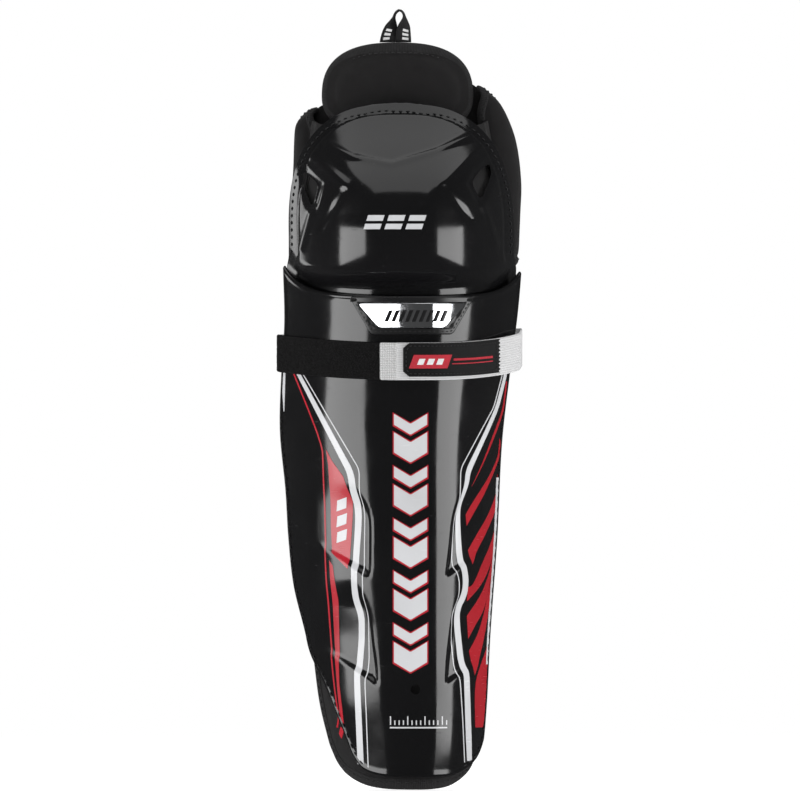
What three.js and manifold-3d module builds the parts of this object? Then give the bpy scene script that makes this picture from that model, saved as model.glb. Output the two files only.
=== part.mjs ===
// Ice hockey shin guard for the right leg: shin shell, knee cap, thigh guard, wings, liners and wrap strap.
// Millimetres, +Z up along the leg. The front faces -Y and the wearer's outer side is at -X.
// The origin is the centre of the guard's footprint, level with the lowest edge of the padding.
import * as THREE from 'three';
import { mergeVertices } from 'three/addons/utils/BufferGeometryUtils.js';
import Module from 'manifold-3d';

const wasm = await Module();
wasm.setup();

// ---- Driving dimensions ---------------------------------------------------------------------
const LAYER = {
  shell: [0, -2.5],
  chassis: [-3.3, -10.3],
  patch: [-10.9, -12.4],
  liner: [-13, -20],
};
const KNEE_CHASSIS = [-4, -10];
const KNEE_PATCH = [-11, -12.4];
const KNEE_LINER = [-13.4, -19];
const KNEE = { x: 1.4, z: 385, lean: -0.02, halfWidth: 80.3, rise: 94, drop: 59, front: -78, tuck: 6 };
const THIGH = { x: -1.4, z: 482, halfWidth: 53, rise: 37.8, drop: 28, waist: 0.12, pad: 5, plate: 1.5 };
const STRAP = { height: 26, thickness: 1.6, x: -0.75, halfSpan: 84.4, back: 78, z: 298 };
const WING = { pad: 4, plate: 1.6, gap: 0.8 };
const CALF_WING = { low: 62, high: 276, reach: 46, lead: 6 };
const KNEE_WING = { reach: 46, turn: 0.4, depth: 14, curl: 12 };
const VENT_HOLE = { x: 11, z: 70, radius: 3.2 };
const BADGE = { x: 8.4, top: 343, bottom: 316.5, topHalf: 42.5, bottomHalf: 27.5 };
const CLEARANCE = 0.4;

// ---- Looks ----------------------------------------------------------------------------------
const finish = (color, roughness, metalness = 0) =>
  new THREE.MeshStandardMaterial({ color, roughness, metalness });
const glossBlack = finish(0x0b0b0c, 0.12);
const blackFabric = finish(0x1a1819, 0.9);
const blackBinding = finish(0x141516, 0.8);
const greyLiner = finish(0x3a3a3c, 0.95);
const stiffener = finish(0xd8d8d4, 0.5);
const pileFabric = finish(0x141313, 1);
const whiteElastic = finish(0xd9d9d9, 0.85);
const chrome = finish(0xd5d6d8, 0.06, 1);
const hookTape = finish(0x222224, 0.8);

// ---- Curves and the two moulded surfaces ----------------------------------------------------
const { sign, abs, sin, cos, sqrt, min, max, pow, PI } = Math;
const lerp = THREE.MathUtils.lerp;
const smooth = THREE.MathUtils.smoothstep;
const vec = (x, y, z) => new THREE.Vector3(x, y, z);

// A smooth curve through [position, value] knots. It runs on level past its two ends.
function through(...knots) {
  const slope = (i) => {
    const a = knots[max(i - 1, 0)];
    const b = knots[min(i + 1, knots.length - 1)];
    return (b[1] - a[1]) / (b[0] - a[0]);
  };
  return (at) => {
    const last = knots.length - 1;
    if (at <= knots[0][0]) return knots[0][1];
    if (at >= knots[last][0]) return knots[last][1];
    let i = 0;
    while (at > knots[i + 1][0]) i++;
    const span = knots[i + 1][0] - knots[i][0];
    const t = (at - knots[i][0]) / span;
    const rise = t * t * (3 - 2 * t);
    const out = t * (1 - t) * (1 - t) * slope(i) * span;
    const into = t * t * (t - 1) * slope(i + 1) * span;
    return lerp(knots[i][1], knots[i + 1][1], rise) + out + into;
  };
}

// The shin surface, by height: outer side, inner side, ridge, and how far back each lies.
const shinLeft = through(
  [0, -46], [25, -51], [58, -59], [92, -63.6], [108, -65.6], [142, -72.8],
  [175, -76], [208, -78], [250, -82.3], [290, -81.9], [325, -80.3], [360, -81.3],
);
const shinRight = through(
  [0, 51.5], [25, 57.6], [58, 60.8], [108, 63.4], [175, 68.2],
  [242, 71.6], [292, 77.4], [325, 81.8], [342, 83.6], [360, 85.1],
);
const shinRidge = through([0, 13], [90, 12.5], [220, 9], [360, 7.5]);
const ridgeY = through([0, -48], [60, -51], [130, -55], [220, -60], [300, -64], [360, -66.5]);
const sideY = through([0, 2], [60, 6], [130, 10], [220, 12], [360, 12]);
const SHIN_ROUNDNESS = 2.3;

function shinAcross(x, z) {
  const fromRidge = x - shinRidge(z);
  const reach = fromRidge < 0 ? shinRidge(z) - shinLeft(z) : shinRight(z) - shinRidge(z);
  return fromRidge / reach;
}
const shinX = (u, z) => lerp(shinRidge(z), u < 0 ? shinLeft(z) : shinRight(z), abs(u));
const shinY = (x, z) => lerp(ridgeY(z), sideY(z), pow(abs(shinAcross(x, z)), SHIN_ROUNDNESS));

// The knee dome, by height: its middle profile and its edge, and where it tucks behind the shin shell.
const kneeMiddle = through([352, -66], [364, -74], [378, -77.6], [395, KNEE.front], [419, -73], [437, -60], [470, -27], [480, -20]);
const kneeEdge = through([400, 14], [416, 10], [440, 2], [465, -9], [480, -20]);
const shinTop = (u) => (u < 0 ? 343.5 + 4 * u * u + 17 * pow(u, 8) : 343.5 + 2 * u * u + 15 * pow(u, 8));
const KNEE_ROUNDNESS = { dome: 2.5, arch: 2.6, foot: 6 };

function kneeY(x, z) {
  const up = min(max(z - KNEE.z, 0) / KNEE.rise, 0.999);
  const half = KNEE.halfWidth * pow(1 - pow(up, KNEE_ROUNDNESS.arch), 1 / KNEE_ROUNDNESS.arch);
  const q = min(abs(x - KNEE.x) / half, 1.25);
  const dome = lerp(kneeMiddle(z), kneeEdge(z), pow(q, KNEE_ROUNDNESS.dome));
  const slope = shinY(x + 0.5, z) - shinY(x - 0.5, z);
  const nested = shinY(x, z) + KNEE.tuck * sqrt(1 + slope * slope);
  const lip = shinTop(min(max(shinAcross(x, z), -1), 1));
  return lerp(nested, dome, smooth(z, lip + 3, lip + 18));
}

// A point at (x, z) on a surface, moved outwards by depth along the surface's own normal.
function onSurface(surfaceY, x, z, depth) {
  const e = 0.5;
  const dx = (surfaceY(x + e, z) - surfaceY(x - e, z)) / (2 * e);
  const dz = (surfaceY(x, z + e) - surfaceY(x, z - e)) / (2 * e);
  const normal = vec(dx, -1, dz).normalize();
  return vec(x, surfaceY(x, z), z).addScaledVector(normal, depth);
}

// ---- Solids from grids of points ------------------------------------------------------------
function solidFrom(points, faces) {
  const volume = faces.reduce((sum, [a, b, c]) => {
    return sum + points[a].dot(vec(0, 0, 0).crossVectors(points[b], points[c]));
  }, 0);
  const turned = volume < 0 ? faces.map(([a, b, c]) => [a, c, b]) : faces;
  const geometry = new THREE.BufferGeometry().setFromPoints(points);
  return geometry.setIndex(turned.flat());
}

const quad = (a, b, c, d) => [[a, b, c], [a, c, d]];

// A curved plate: front(s, t) and back(s, t) for s from -1 to 1 and t from 0 to 1, walled round its border.
function plate(columns, rows, front, back) {
  const points = [];
  for (const side of [front, back])
    for (let j = 0; j <= rows; j++)
      for (let i = 0; i <= columns; i++) points.push(side((2 * i) / columns - 1, j / rows));
  const at = (side, i, j) => side * (columns + 1) * (rows + 1) + j * (columns + 1) + i;
  const faces = [];
  for (let j = 0; j < rows; j++)
    for (let i = 0; i < columns; i++) {
      faces.push(...quad(at(0, i, j), at(0, i + 1, j), at(0, i + 1, j + 1), at(0, i, j + 1)));
      faces.push(...quad(at(1, i, j), at(1, i, j + 1), at(1, i + 1, j + 1), at(1, i + 1, j)));
    }
  for (let i = 0; i < columns; i++) {
    faces.push(...quad(at(0, i, 0), at(1, i, 0), at(1, i + 1, 0), at(0, i + 1, 0)));
    faces.push(...quad(at(0, i, rows), at(0, i + 1, rows), at(1, i + 1, rows), at(1, i, rows)));
  }
  for (let j = 0; j < rows; j++) {
    faces.push(...quad(at(0, 0, j), at(0, 0, j + 1), at(1, 0, j + 1), at(1, 0, j)));
    faces.push(...quad(at(0, columns, j), at(1, columns, j), at(1, columns, j + 1), at(0, columns, j + 1)));
  }
  return solidFrom(points, faces);
}

// A round plate: front(r, angle) and back(r, angle) for r from 0 to 1, walled round its rim.
function disc(spokes, rings, front, back) {
  const points = [];
  for (const side of [front, back]) {
    points.push(side(0, 0));
    for (let j = 1; j <= rings; j++)
      for (let i = 0; i < spokes; i++) points.push(side(j / rings, (2 * PI * i) / spokes));
  }
  const at = (side, i, j) => side * (1 + rings * spokes) + 1 + (j - 1) * spokes + (i % spokes);
  const centre = (side) => side * (1 + rings * spokes);
  const faces = [];
  for (let i = 0; i < spokes; i++) {
    faces.push([centre(0), at(0, i, 1), at(0, i + 1, 1)], [centre(1), at(1, i + 1, 1), at(1, i, 1)]);
    for (let j = 1; j < rings; j++) {
      faces.push(...quad(at(0, i, j), at(0, i, j + 1), at(0, i + 1, j + 1), at(0, i + 1, j)));
      faces.push(...quad(at(1, i, j), at(1, i + 1, j), at(1, i + 1, j + 1), at(1, i, j + 1)));
    }
    faces.push(...quad(at(0, i, rings), at(1, i, rings), at(1, i + 1, rings), at(0, i + 1, rings)));
  }
  return solidFrom(points, faces);
}

// A closed hoop: corner(angle, k) gives the profile's corner k of four at each angle round it.
function hoop(spokes, corner) {
  const points = [];
  for (let i = 0; i < spokes; i++) for (let k = 0; k < 4; k++) points.push(corner((2 * PI * i) / spokes, k));
  const at = (i, k) => (i % spokes) * 4 + (k % 4);
  const faces = [];
  for (let i = 0; i < spokes; i++)
    for (let k = 0; k < 4; k++) faces.push(...quad(at(i, k), at(i + 1, k), at(i + 1, k + 1), at(i, k + 1)));
  return solidFrom(points, faces);
}

function toManifold(geometry) {
  const bare = geometry.clone();
  bare.deleteAttribute('normal');
  bare.deleteAttribute('uv');
  const merged = mergeVertices(bare, 1e-4);
  const vertProperties = new Float32Array(merged.attributes.position.array);
  return new wasm.Manifold(new wasm.Mesh({ numProp: 3, vertProperties, triVerts: new Uint32Array(merged.index.array) }));
}

function cutAway(geometry, ...cutters) {
  const cut = cutters.reduce((solid, cutter) => solid.subtract(toManifold(cutter)), toManifold(geometry));
  const mesh = cut.getMesh();
  const position = new THREE.BufferAttribute(new Float32Array(mesh.vertProperties), 3);
  return new THREE.BufferGeometry().setAttribute('position', position).setIndex([...mesh.triVerts]);
}

// A cutter that runs front to back through an outline given in (x, z).
function throughCut(shape, fromY, toY) {
  const cutter = new THREE.ExtrudeGeometry(shape, { depth: toY - fromY, bevelEnabled: false, curveSegments: 20 });
  return cutter.rotateX(PI / 2).translate(0, toY, 0);
}

function mesh(name, geometry, material) {
  const made = new THREE.Mesh(geometry, material);
  made.name = name;
  return made;
}

// ---- Shin: shell, chassis, liner, pads and patches ------------------------------------------
// A layer of the shin between two depths, inside left and right edges and below and above two curves.
function shinLayer(columns, rows, [outer, inner], { left, right, bottom, top }) {
  const at = (depth) => (s, t) => {
    const z = lerp(bottom(s), top(s), t);
    const u = s < 0 ? -s * left(z) : s * right(z);
    return onSurface(shinY, shinX(u, z), z, depth);
  };
  return plate(columns, rows, at(outer), at(inner));
}

const shellLeft = through([10, -0.68], [28, -0.735], [63, -0.84], [104, -1], [360, -1]);
const flush = (u) => () => u;
const cornered = (base, sag, corner) => (s) => base + sag * pow(abs(s), 5) + corner * pow(s, 30);

function makeShinShell() {
  const shell = shinLayer(30, 24, LAYER.shell, {
    left: shellLeft,
    right: flush(1),
    bottom: (s) => cornered(9, s < 0 ? 8.5 : 17, 9)(s),
    top: shinTop,
  });
  const hole = new THREE.Shape().absarc(VENT_HOLE.x, -VENT_HOLE.z, VENT_HOLE.radius, 0, 2 * PI);
  return cutAway(shell, throughCut(hole, -80, -30));
}

const chassisBottom = (s) => cornered(3.3, s < 0 ? 18 : 14, 4)(s);
const makeShinChassis = () =>
  shinLayer(22, 14, LAYER.chassis, { left: flush(-1), right: flush(1), bottom: chassisBottom, top: (s) => 321 - 4 * s * s });

const makeShinLiner = () =>
  shinLayer(18, 12, LAYER.liner, {
    left: flush(-0.93),
    right: flush(0.9),
    bottom: cornered(10, 16, 6),
    top: (s) => 316 - 4 * s * s,
  });

// A tape folded round the chassis's lower border, just outside its rim.
const BINDING_WIDTH = 3;
function makeShinBinding() {
  const rim = (s) => {
    const z = chassisBottom(s);
    return vec(shinX(s, z), 0, z);
  };
  const at = (depth) => (s, t) => {
    const reach = 0.985 * s;
    const edge = rim(reach);
    const along = rim(reach + 0.005).sub(rim(reach - 0.005)).normalize();
    edge.addScaledVector(vec(along.z, 0, -along.x), CLEARANCE + BINDING_WIDTH * t);
    return onSurface(shinY, edge.x, edge.z, depth);
  };
  return plate(30, 1, at(LAYER.chassis[0]), at(LAYER.chassis[1]));
}

// A flat-backed bar of felt on the liner, where the shin bone rests.
const TIBIA_PAD = { low: 120, high: 290, halfWidth: 16, back: -24 };
function makeTibiaPad() {
  const at = (y) => (s, t) => {
    const z = lerp(TIBIA_PAD.low, TIBIA_PAD.high, t);
    const x = shinRidge(200) + TIBIA_PAD.halfWidth * s;
    return y === undefined ? onSurface(shinY, x, z, LAYER.liner[1] - 2.5 * CLEARANCE) : vec(x, y, z);
  };
  return plate(8, 10, at(), at(TIBIA_PAD.back));
}

const makeLinerPatch = (low, high) =>
  shinLayer(8, 2, LAYER.patch, { left: flush(-0.3), right: flush(0.3), bottom: () => low, top: () => high });

const makeGusset = () =>
  shinLayer(20, 2, [-9.6, -10.6], { left: flush(-0.84), right: flush(0.82), bottom: () => 323, top: () => 347 });

// ---- Badge on the shin shell ----------------------------------------------------------------
const BADGE_BEZEL = [0.4, 2.2];
const BADGE_PLATE = [2.6, 3.4];

function badgeLayer([outer, inner], inset) {
  const at = (depth) => (s, t) => {
    const z = lerp(BADGE.bottom + inset, BADGE.top - inset, t);
    const half = lerp(BADGE.bottomHalf, BADGE.topHalf, t) - inset * 1.2;
    return onSurface(shinY, BADGE.x + half * s, z, depth);
  };
  return plate(14, 4, at(outer), at(inner));
}

function makeTack(side) {
  const x = BADGE.x + side * (BADGE.topHalf - 2);
  const z = BADGE.top - 3;
  const at = (depth) => (r, a) => onSurface(shinY, x + 1.8 * r * cos(a), z + 1.8 * r * sin(a), depth);
  return disc(10, 1, at(BADGE_BEZEL[1] + 1.4), at(BADGE_BEZEL[1] + CLEARANCE));
}

// ---- Strap that wraps the guard and the calf ------------------------------------------------
// How far each layer of strap stands off the shell: the pile strap, the elastic over it, the tab on that.
const PILE_LIFT = 1.2;
const ELASTIC_LIFT = 3.4;
const TAB_LIFT = 5.5;

// The strap lies level across the front and climbs towards both sides.
const strapRise = (x) => STRAP.z + (x > 0 ? 10 * pow(x / STRAP.halfSpan, 4) : 5.7 * pow(x / STRAP.halfSpan, 2));

// The front run at u across the shin. It eases down off the pile strap, then stands off the inner side.
function strapFront(u, lift, t) {
  const mid = strapRise(shinX(u, STRAP.z));
  const z = lerp(mid - STRAP.height / 2, mid + STRAP.height / 2, t);
  const over = lift > PILE_LIFT + STRAP.thickness ? 2.2 * smooth(u, 0.15, 0.5) : 0;
  const proud = 3.8 * smooth(u, 0.6, 1);
  return onSurface(shinY, shinX(u, STRAP.z), z, lift - over + proud);
}

// The rear run is a superellipse behind the calf, between the two sides.
const REAR = { start: 11.5, roundness: 0.62 };
function strapRear(angle, lift, t) {
  const away = lift - PILE_LIFT - STRAP.thickness;
  const x = STRAP.x + (STRAP.halfSpan + away) * sign(cos(angle)) * pow(abs(cos(angle)), REAR.roundness);
  const y = REAR.start + (STRAP.back - REAR.start + away) * pow(sin(angle), REAR.roundness);
  const mid = lerp(strapRise(-STRAP.halfSpan), strapRise(STRAP.halfSpan), (x / STRAP.halfSpan + 1) / 2);
  return vec(x, y, lerp(mid - STRAP.height / 2, mid + STRAP.height / 2, t));
}

// A run of strap as a list of plan stations, each a function of (lift, t).
function strapRun(stations, lift) {
  const count = stations.length - 1;
  const at = (offset) => (s, t) => stations[Math.round(((s + 1) / 2) * count)](offset, t);
  return plate(count, 1, at(lift + STRAP.thickness), at(lift));
}

const frontStations = (fromX, toX, count) =>
  Array.from({ length: count + 1 }, (_, i) => {
    const u = lerp(shinAcross(fromX, STRAP.z), shinAcross(toX, STRAP.z), i / count);
    return (lift, t) => strapFront(u, lift, t);
  });

const rearStations = (fromAngle, toAngle, count) =>
  Array.from({ length: count + 1 }, (_, i) => {
    const angle = lerp(fromAngle, toAngle, i / count);
    return (lift, t) => strapRear(angle, lift, t);
  });

// The pile strap ends past the outer side; the front elastic is one ribbon with the rear one, parted at its fold.
const PARTING = { outer: PI - 0.16, inner: 0.02, gap: 0.02 };
const outerSide = shinLeft(STRAP.z);
const innerSide = shinRight(STRAP.z);

const makePileStrap = () =>
  strapRun([...frontStations(14, outerSide, 24), ...rearStations(PI - 0.05, PARTING.outer, 2)], PILE_LIFT);
const makeRearElastic = () =>
  strapRun(rearStations(PARTING.outer - PARTING.gap, PARTING.inner + PARTING.gap, 30), PILE_LIFT);
const makeFrontElastic = () => strapRun(frontStations(-2, innerSide, 20), ELASTIC_LIFT);
const makeHookPatch = () => strapRun(frontStations(-11.5, -3, 3), ELASTIC_LIFT);
const makeEndTab = () => strapRun(frontStations(1.5, 69, 14), TAB_LIFT);

// ---- Wings ----------------------------------------------------------------------------------
// A wing is a curved flap: face(a, z) is its outer face, a from 0 at its hinge to 1 at its free edge.
// Its layers lie at a depth inside that face, and an inset layer stops short of every edge.
function wingLayer(face, side, { low, high, reach, start = 0 }, from, thickness, inset) {
  const at = (depth) => (s, t) => {
    const z = lerp(low + inset, high - inset, t);
    const a = lerp(start + inset / reach, 1 - inset / reach, (s + 1) / 2);
    const across = face(a + 0.01, z).sub(face(a - 0.01, z));
    const upwards = face(a, z + 0.5).sub(face(a, z - 0.5));
    const inwards = vec(0, 0, 0).crossVectors(upwards, across).normalize().multiplyScalar(side);
    return face(a, z).addScaledVector(inwards, depth);
  };
  return plate(8, 12, at(from), at(from + thickness));
}

// A calf wing runs on backwards from one edge of the shin shell, and curls in behind the calf.
const calfWingFace = (side) => (a, z) => {
  const tip = abs((2 * (z - CALF_WING.low)) / (CALF_WING.high - CALF_WING.low) - 1);
  const out = a * CALF_WING.reach * (1 - 0.55 * pow(min(tip, 1), 5));
  const edge = side < 0 ? shinLeft(z) + 4.6 : shinRight(z) - 4.6;
  return vec(edge - side * (0.1 * out + 0.0035 * out * out), sideY(z) + CALF_WING.lead + out, z);
};

// A knee wing hangs on a straight line behind one side of the knee cap. It starts out facing the front,
// turns backwards along the knee, then curls in.
const KNEE_WINGS = {
  left: {
    side: -1,
    low: 366,
    high: 475.5,
    hinge: through([366, -67], [475.5, -55.6]),
    outer: through([366, -76], [400, -76.6], [430, -74.3], [455, -73.4], [464, -72], [471, -66], [475.5, -59]),
  },
  right: {
    side: 1,
    low: 366,
    high: 490.5,
    hinge: through([366, 66], [490.5, 52.8]),
    outer: through([366, 83], [404, 84.6], [421, 85.2], [446, 82.6], [463, 77.7], [480, 68.5], [490.5, 56.2]),
  },
};
// The stiffener and inner pad start past the turn and end below the thigh guard.
const KNEE_WING_INNER_TOP = 456;
const kneeWingY = through([366, 26], [490, 8]);

const kneeWingFace = ({ low, high, side, hinge, outer }) => (a, z) => {
  const top = smooth(z, high - 46, high + 4);
  const bottom = 1 - smooth(z, low - 6, low + 14);
  const turn = min(a / KNEE_WING.turn, 1) * (PI / 2);
  const beyond = max(a - KNEE_WING.turn, 0) / (1 - KNEE_WING.turn);
  const x = lerp(hinge(z), outer(z), sin(turn)) - side * KNEE_WING.curl * beyond * beyond * (1 - top);
  const back = (KNEE_WING.reach - KNEE_WING.depth) * (1 - 0.7 * top) * (1 - 0.3 * bottom);
  return vec(x, kneeWingY(z) + KNEE_WING.depth * (1 - 0.6 * top) * (1 - cos(turn)) + back * beyond, z);
};

// ---- Knee -----------------------------------------------------------------------------------
// The cap's outline seen from the front: a broad arch above, a squarer foot below.
function kneeOutline(angle, scale) {
  const lower = sin(angle) < 0;
  const n = lower ? KNEE_ROUNDNESS.foot : KNEE_ROUNDNESS.arch;
  const across = abs(cos(angle)) / KNEE.halfWidth;
  const upright = abs(sin(angle)) / (lower ? KNEE.drop : KNEE.rise);
  const radius = scale * pow(pow(across, n) + pow(upright, n), -1 / n);
  const rise = radius * sin(angle);
  return { x: KNEE.x + radius * cos(angle) + KNEE.lean * max(rise, 0), z: KNEE.z + rise };
}

function kneeLayer(spokes, rings, [outer, inner], scale) {
  const at = (depth) => (r, angle) => {
    const { x, z } = kneeOutline(angle, r * scale);
    return onSurface(kneeY, x, z, depth);
  };
  return disc(spokes, rings, at(outer), at(inner));
}

// Side vents: rounded triangles, as (x, z) corners.
function ventCutter(corners) {
  const shape = new THREE.Shape();
  const count = corners.length;
  const between = (a, b, t) => [lerp(a[0], b[0], t), -lerp(a[1], b[1], t)];
  corners.forEach((corner, i) => {
    const before = corners[(i + count - 1) % count];
    const after = corners[(i + 1) % count];
    if (i === 0) shape.moveTo(...between(corner, before, 0.2));
    else shape.lineTo(...between(corner, before, 0.2));
    shape.quadraticCurveTo(corner[0], -corner[1], ...between(corner, after, 0.2));
  });
  shape.closePath();
  return throughCut(shape, -60, 20);
}

const LEFT_VENT = [[-67.5, 431], [-56, 421], [-60.5, 404.5], [-66.5, 419]];
const RIGHT_VENT = [[62.5, 435.5], [64, 428], [56.5, 409.5], [50, 421.5], [55, 430]];
const makeKneeCap = () =>
  cutAway(kneeLayer(44, 12, LAYER.shell, 1), ventCutter(LEFT_VENT), ventCutter(RIGHT_VENT));

// The knee's padding stops short of the cap's tucked lower lip.
const KNEE_PAD_DROP = 0.6;
const PAD_SCALE = { chassis: 0.93, liner: 0.84, cup: 0.4, ring: 0.46 };
function kneePadPoint(r, angle, depth) {
  const { x, z } = kneeOutline(angle, r);
  const raised = KNEE.z - (KNEE.z - z) * KNEE_PAD_DROP;
  return onSurface(kneeY, x, z < KNEE.z ? raised : z, depth);
}

function kneePad(spokes, rings, [outer, inner], scale) {
  const at = (depth) => (r, angle) => kneePadPoint(r * scale, angle, depth);
  return disc(spokes, rings, at(outer), at(inner));
}

// The liner is a ring round the kneecap, with a soft cup in its middle.
function makeKneeRing() {
  const rows = 3;
  const spokes = 32;
  const points = [];
  const at = (i, k) => (i % spokes) * 2 * (rows + 1) + (k % (2 * (rows + 1)));
  for (let i = 0; i < spokes; i++) {
    const angle = (2 * PI * i) / spokes;
    for (let k = 0; k <= rows; k++)
      points.push(kneePadPoint(lerp(PAD_SCALE.ring, PAD_SCALE.liner, k / rows), angle, KNEE_LINER[0]));
    for (let k = rows; k >= 0; k--)
      points.push(kneePadPoint(lerp(PAD_SCALE.ring, PAD_SCALE.liner, k / rows), angle, KNEE_LINER[1]));
  }
  const faces = [];
  for (let i = 0; i < spokes; i++)
    for (let k = 0; k < 2 * (rows + 1); k++)
      faces.push(...quad(at(i, k), at(i + 1, k), at(i + 1, k + 1), at(i, k + 1)));
  return solidFrom(points, faces);
}

function makeKneePatch(side) {
  const at = (depth) => (s, t) =>
    onSurface(kneeY, KNEE.x + side * (46 + 6 * s), lerp(376, 416, t), depth);
  return plate(4, 4, at(KNEE_PATCH[0]), at(KNEE_PATCH[1]));
}

// ---- Thigh guard and its hang loop ----------------------------------------------------------
// The flap curves round the thigh and leans back; depth is measured back from its front face.
function thighPoint(r, angle, depth) {
  const n = 2.6;
  const rise = sin(angle) < 0 ? THIGH.drop : THIGH.rise;
  const x = r * THIGH.halfWidth * sign(cos(angle)) * pow(abs(cos(angle)), 2 / n);
  const z = r * rise * sign(sin(angle)) * pow(abs(sin(angle)), 2 / n);
  const waist = z < 0 ? 1 - THIGH.waist * pow(z / THIGH.drop, 2) : 1;
  return vec(THIGH.x + x * waist, -2 + depth + 0.0042 * x * x + 0.08 * z, THIGH.z + z);
}

const THIGH_RIM = 0.93;
function thighLayer(from, thickness, scale) {
  const at = (depth) => (r, angle) => thighPoint(r * scale, angle, depth);
  return disc(28, 4, at(from), at(from + thickness));
}
const THIGH_DEPTH = 2 * THIGH.pad + THIGH.plate + 2 * CLEARANCE;

function makeThighBinding() {
  const corners = [[THIGH_RIM + 0.012, -0.5], [1, 0.5], [1, THIGH_DEPTH - 0.5], [THIGH_RIM + 0.012, THIGH_DEPTH + 0.5]];
  return hoop(40, (angle, k) => thighPoint(corners[k][0], angle, corners[k][1]));
}

// A ribbon sewn down flat at both ends, which turns edge-on as it rounds the eye at the top.
const LOOP = { width: 10.2, thickness: 0.8, halfBase: 5.3, rise: 21.2, y: 9, turn: 1.05 };
function makeHangLoop() {
  const root = vec(THIGH.x - 0.9, LOOP.y, THIGH.z + THIGH.rise + 3 * CLEARANCE);
  const { halfBase: base, rise } = LOOP;
  const leg = (side) => [vec(side * base, 0, 0), vec(side * base * 0.86, 0, rise * 0.35), vec(side * 2.7, 0, rise * 0.78)];
  const path = new THREE.CatmullRomCurve3([...leg(-1), vec(2.4, 0, rise), ...leg(1).reverse()]);
  const at = (side) => (s, t) => {
    const k = (s + 1) / 2;
    const turn = LOOP.turn * (1 - smooth(abs(s), 0.25, 0.95));
    const along = path.getTangentAt(k);
    const flat = vec(abs(along.z), 0, -along.x * sign(along.z || 1)).multiplyScalar(cos(turn));
    const across = flat.add(vec(0, sin(turn), 0)).normalize();
    const out = vec(0, 0, 0).crossVectors(along, across).normalize();
    const p = path.getPointAt(k).addScaledVector(across, LOOP.width * (t - 0.5));
    return p.addScaledVector(out, (side * LOOP.thickness) / 2).add(root);
  };
  return plate(26, 2, at(1), at(-1));
}

// ---- Assembly -------------------------------------------------------------------------------
const shin = new THREE.Group();
shin.add(
  mesh('shin_shell', makeShinShell(), glossBlack),
  mesh('badge_bezel', badgeLayer(BADGE_BEZEL, 0), glossBlack),
  mesh('badge_plate', badgeLayer(BADGE_PLATE, 4), chrome),
  mesh('badge_tack_left', makeTack(-1), blackBinding),
  mesh('badge_tack_right', makeTack(1), blackBinding),
  mesh('shin_chassis', makeShinChassis(), blackFabric),
  mesh('shin_binding', makeShinBinding(), blackBinding),
  mesh('shin_liner', makeShinLiner(), greyLiner),
  mesh('tibia_pad', makeTibiaPad(), greyLiner),
  mesh('liner_patch_upper', makeLinerPatch(255, 290), hookTape),
  mesh('liner_patch_lower', makeLinerPatch(60, 95), hookTape),
  mesh('knee_gusset', makeGusset(), blackFabric),
  mesh('strap_pile', makePileStrap(), pileFabric),
  mesh('strap_rear_elastic', makeRearElastic(), whiteElastic),
);

const strapEnd = new THREE.Group();
strapEnd.add(
  mesh('strap_front_elastic', makeFrontElastic(), whiteElastic),
  mesh('strap_hook_patch', makeHookPatch(), whiteElastic),
  mesh('strap_end_tab', makeEndTab(), blackBinding),
);

const knee = new THREE.Group();
knee.add(
  mesh('knee_cap', makeKneeCap(), glossBlack),
  mesh('knee_chassis', kneePad(32, 5, KNEE_CHASSIS, PAD_SCALE.chassis), blackFabric),
  mesh('knee_liner_ring', makeKneeRing(), greyLiner),
  mesh('knee_cup_pad', kneePad(24, 3, KNEE_LINER, PAD_SCALE.cup), greyLiner),
  mesh('knee_patch_left', makeKneePatch(-1), hookTape),
  mesh('knee_patch_right', makeKneePatch(1), hookTape),
);

// Each wing is an outer pad, a stiffener and an inner pad.
const wingLayers = [
  ['outer_pad', 0, WING.pad, 0, blackFabric],
  ['stiffener', WING.pad + WING.gap, WING.plate, 5, stiffener],
  ['inner_pad', WING.pad + WING.plate + 2 * WING.gap, WING.pad, 1, greyLiner],
];
const wings = new THREE.Group();
for (const [name, kneeWing] of Object.entries(KNEE_WINGS))
  for (const [part, from, thickness, inset, material] of wingLayers) {
    const { side, low, high } = kneeWing;
    const outermost = part === 'outer_pad';
    const top = outermost ? high : KNEE_WING_INNER_TOP;
    const extent = { low, high: top, reach: KNEE_WING.reach, start: outermost ? 0 : KNEE_WING.turn };
    const knee = wingLayer(kneeWingFace(kneeWing), side, extent, from, thickness, inset);
    const calf = wingLayer(calfWingFace(side), side, CALF_WING, from, thickness, inset);
    wings.add(
      mesh(`knee_wing_${name}_${part}`, knee, material),
      mesh(`calf_wing_${name}_${part}`, calf, material),
    );
  }

const thigh = new THREE.Group();
thigh.add(
  mesh('thigh_front_pad', thighLayer(0, THIGH.pad, THIGH_RIM), blackFabric),
  mesh('thigh_stiffener', thighLayer(THIGH.pad + CLEARANCE, THIGH.plate, 0.86), stiffener),
  mesh('thigh_back_pad', thighLayer(THIGH.pad + THIGH.plate + 2 * CLEARANCE, THIGH.pad, THIGH_RIM), greyLiner),
  mesh('thigh_binding', makeThighBinding(), blackBinding),
  mesh('hang_loop', makeHangLoop(), blackBinding),
);

const guard = new THREE.Group();
guard.add(shin, strapEnd, knee, wings, thigh);

export default guard;
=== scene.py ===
"""Ice hockey shin guard for the right leg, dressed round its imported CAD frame.

Shapes are worked out in millimetres in the frame's own axes: +Z runs up the leg, the front faces -Y and the
wearer's outer side is at -X. They are turned into metres when a mesh is made.
"""

import math

import bpy
import numpy as np
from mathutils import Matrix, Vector
from mathutils.bvhtree import BVHTree
from mathutils.kdtree import KDTree


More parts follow.
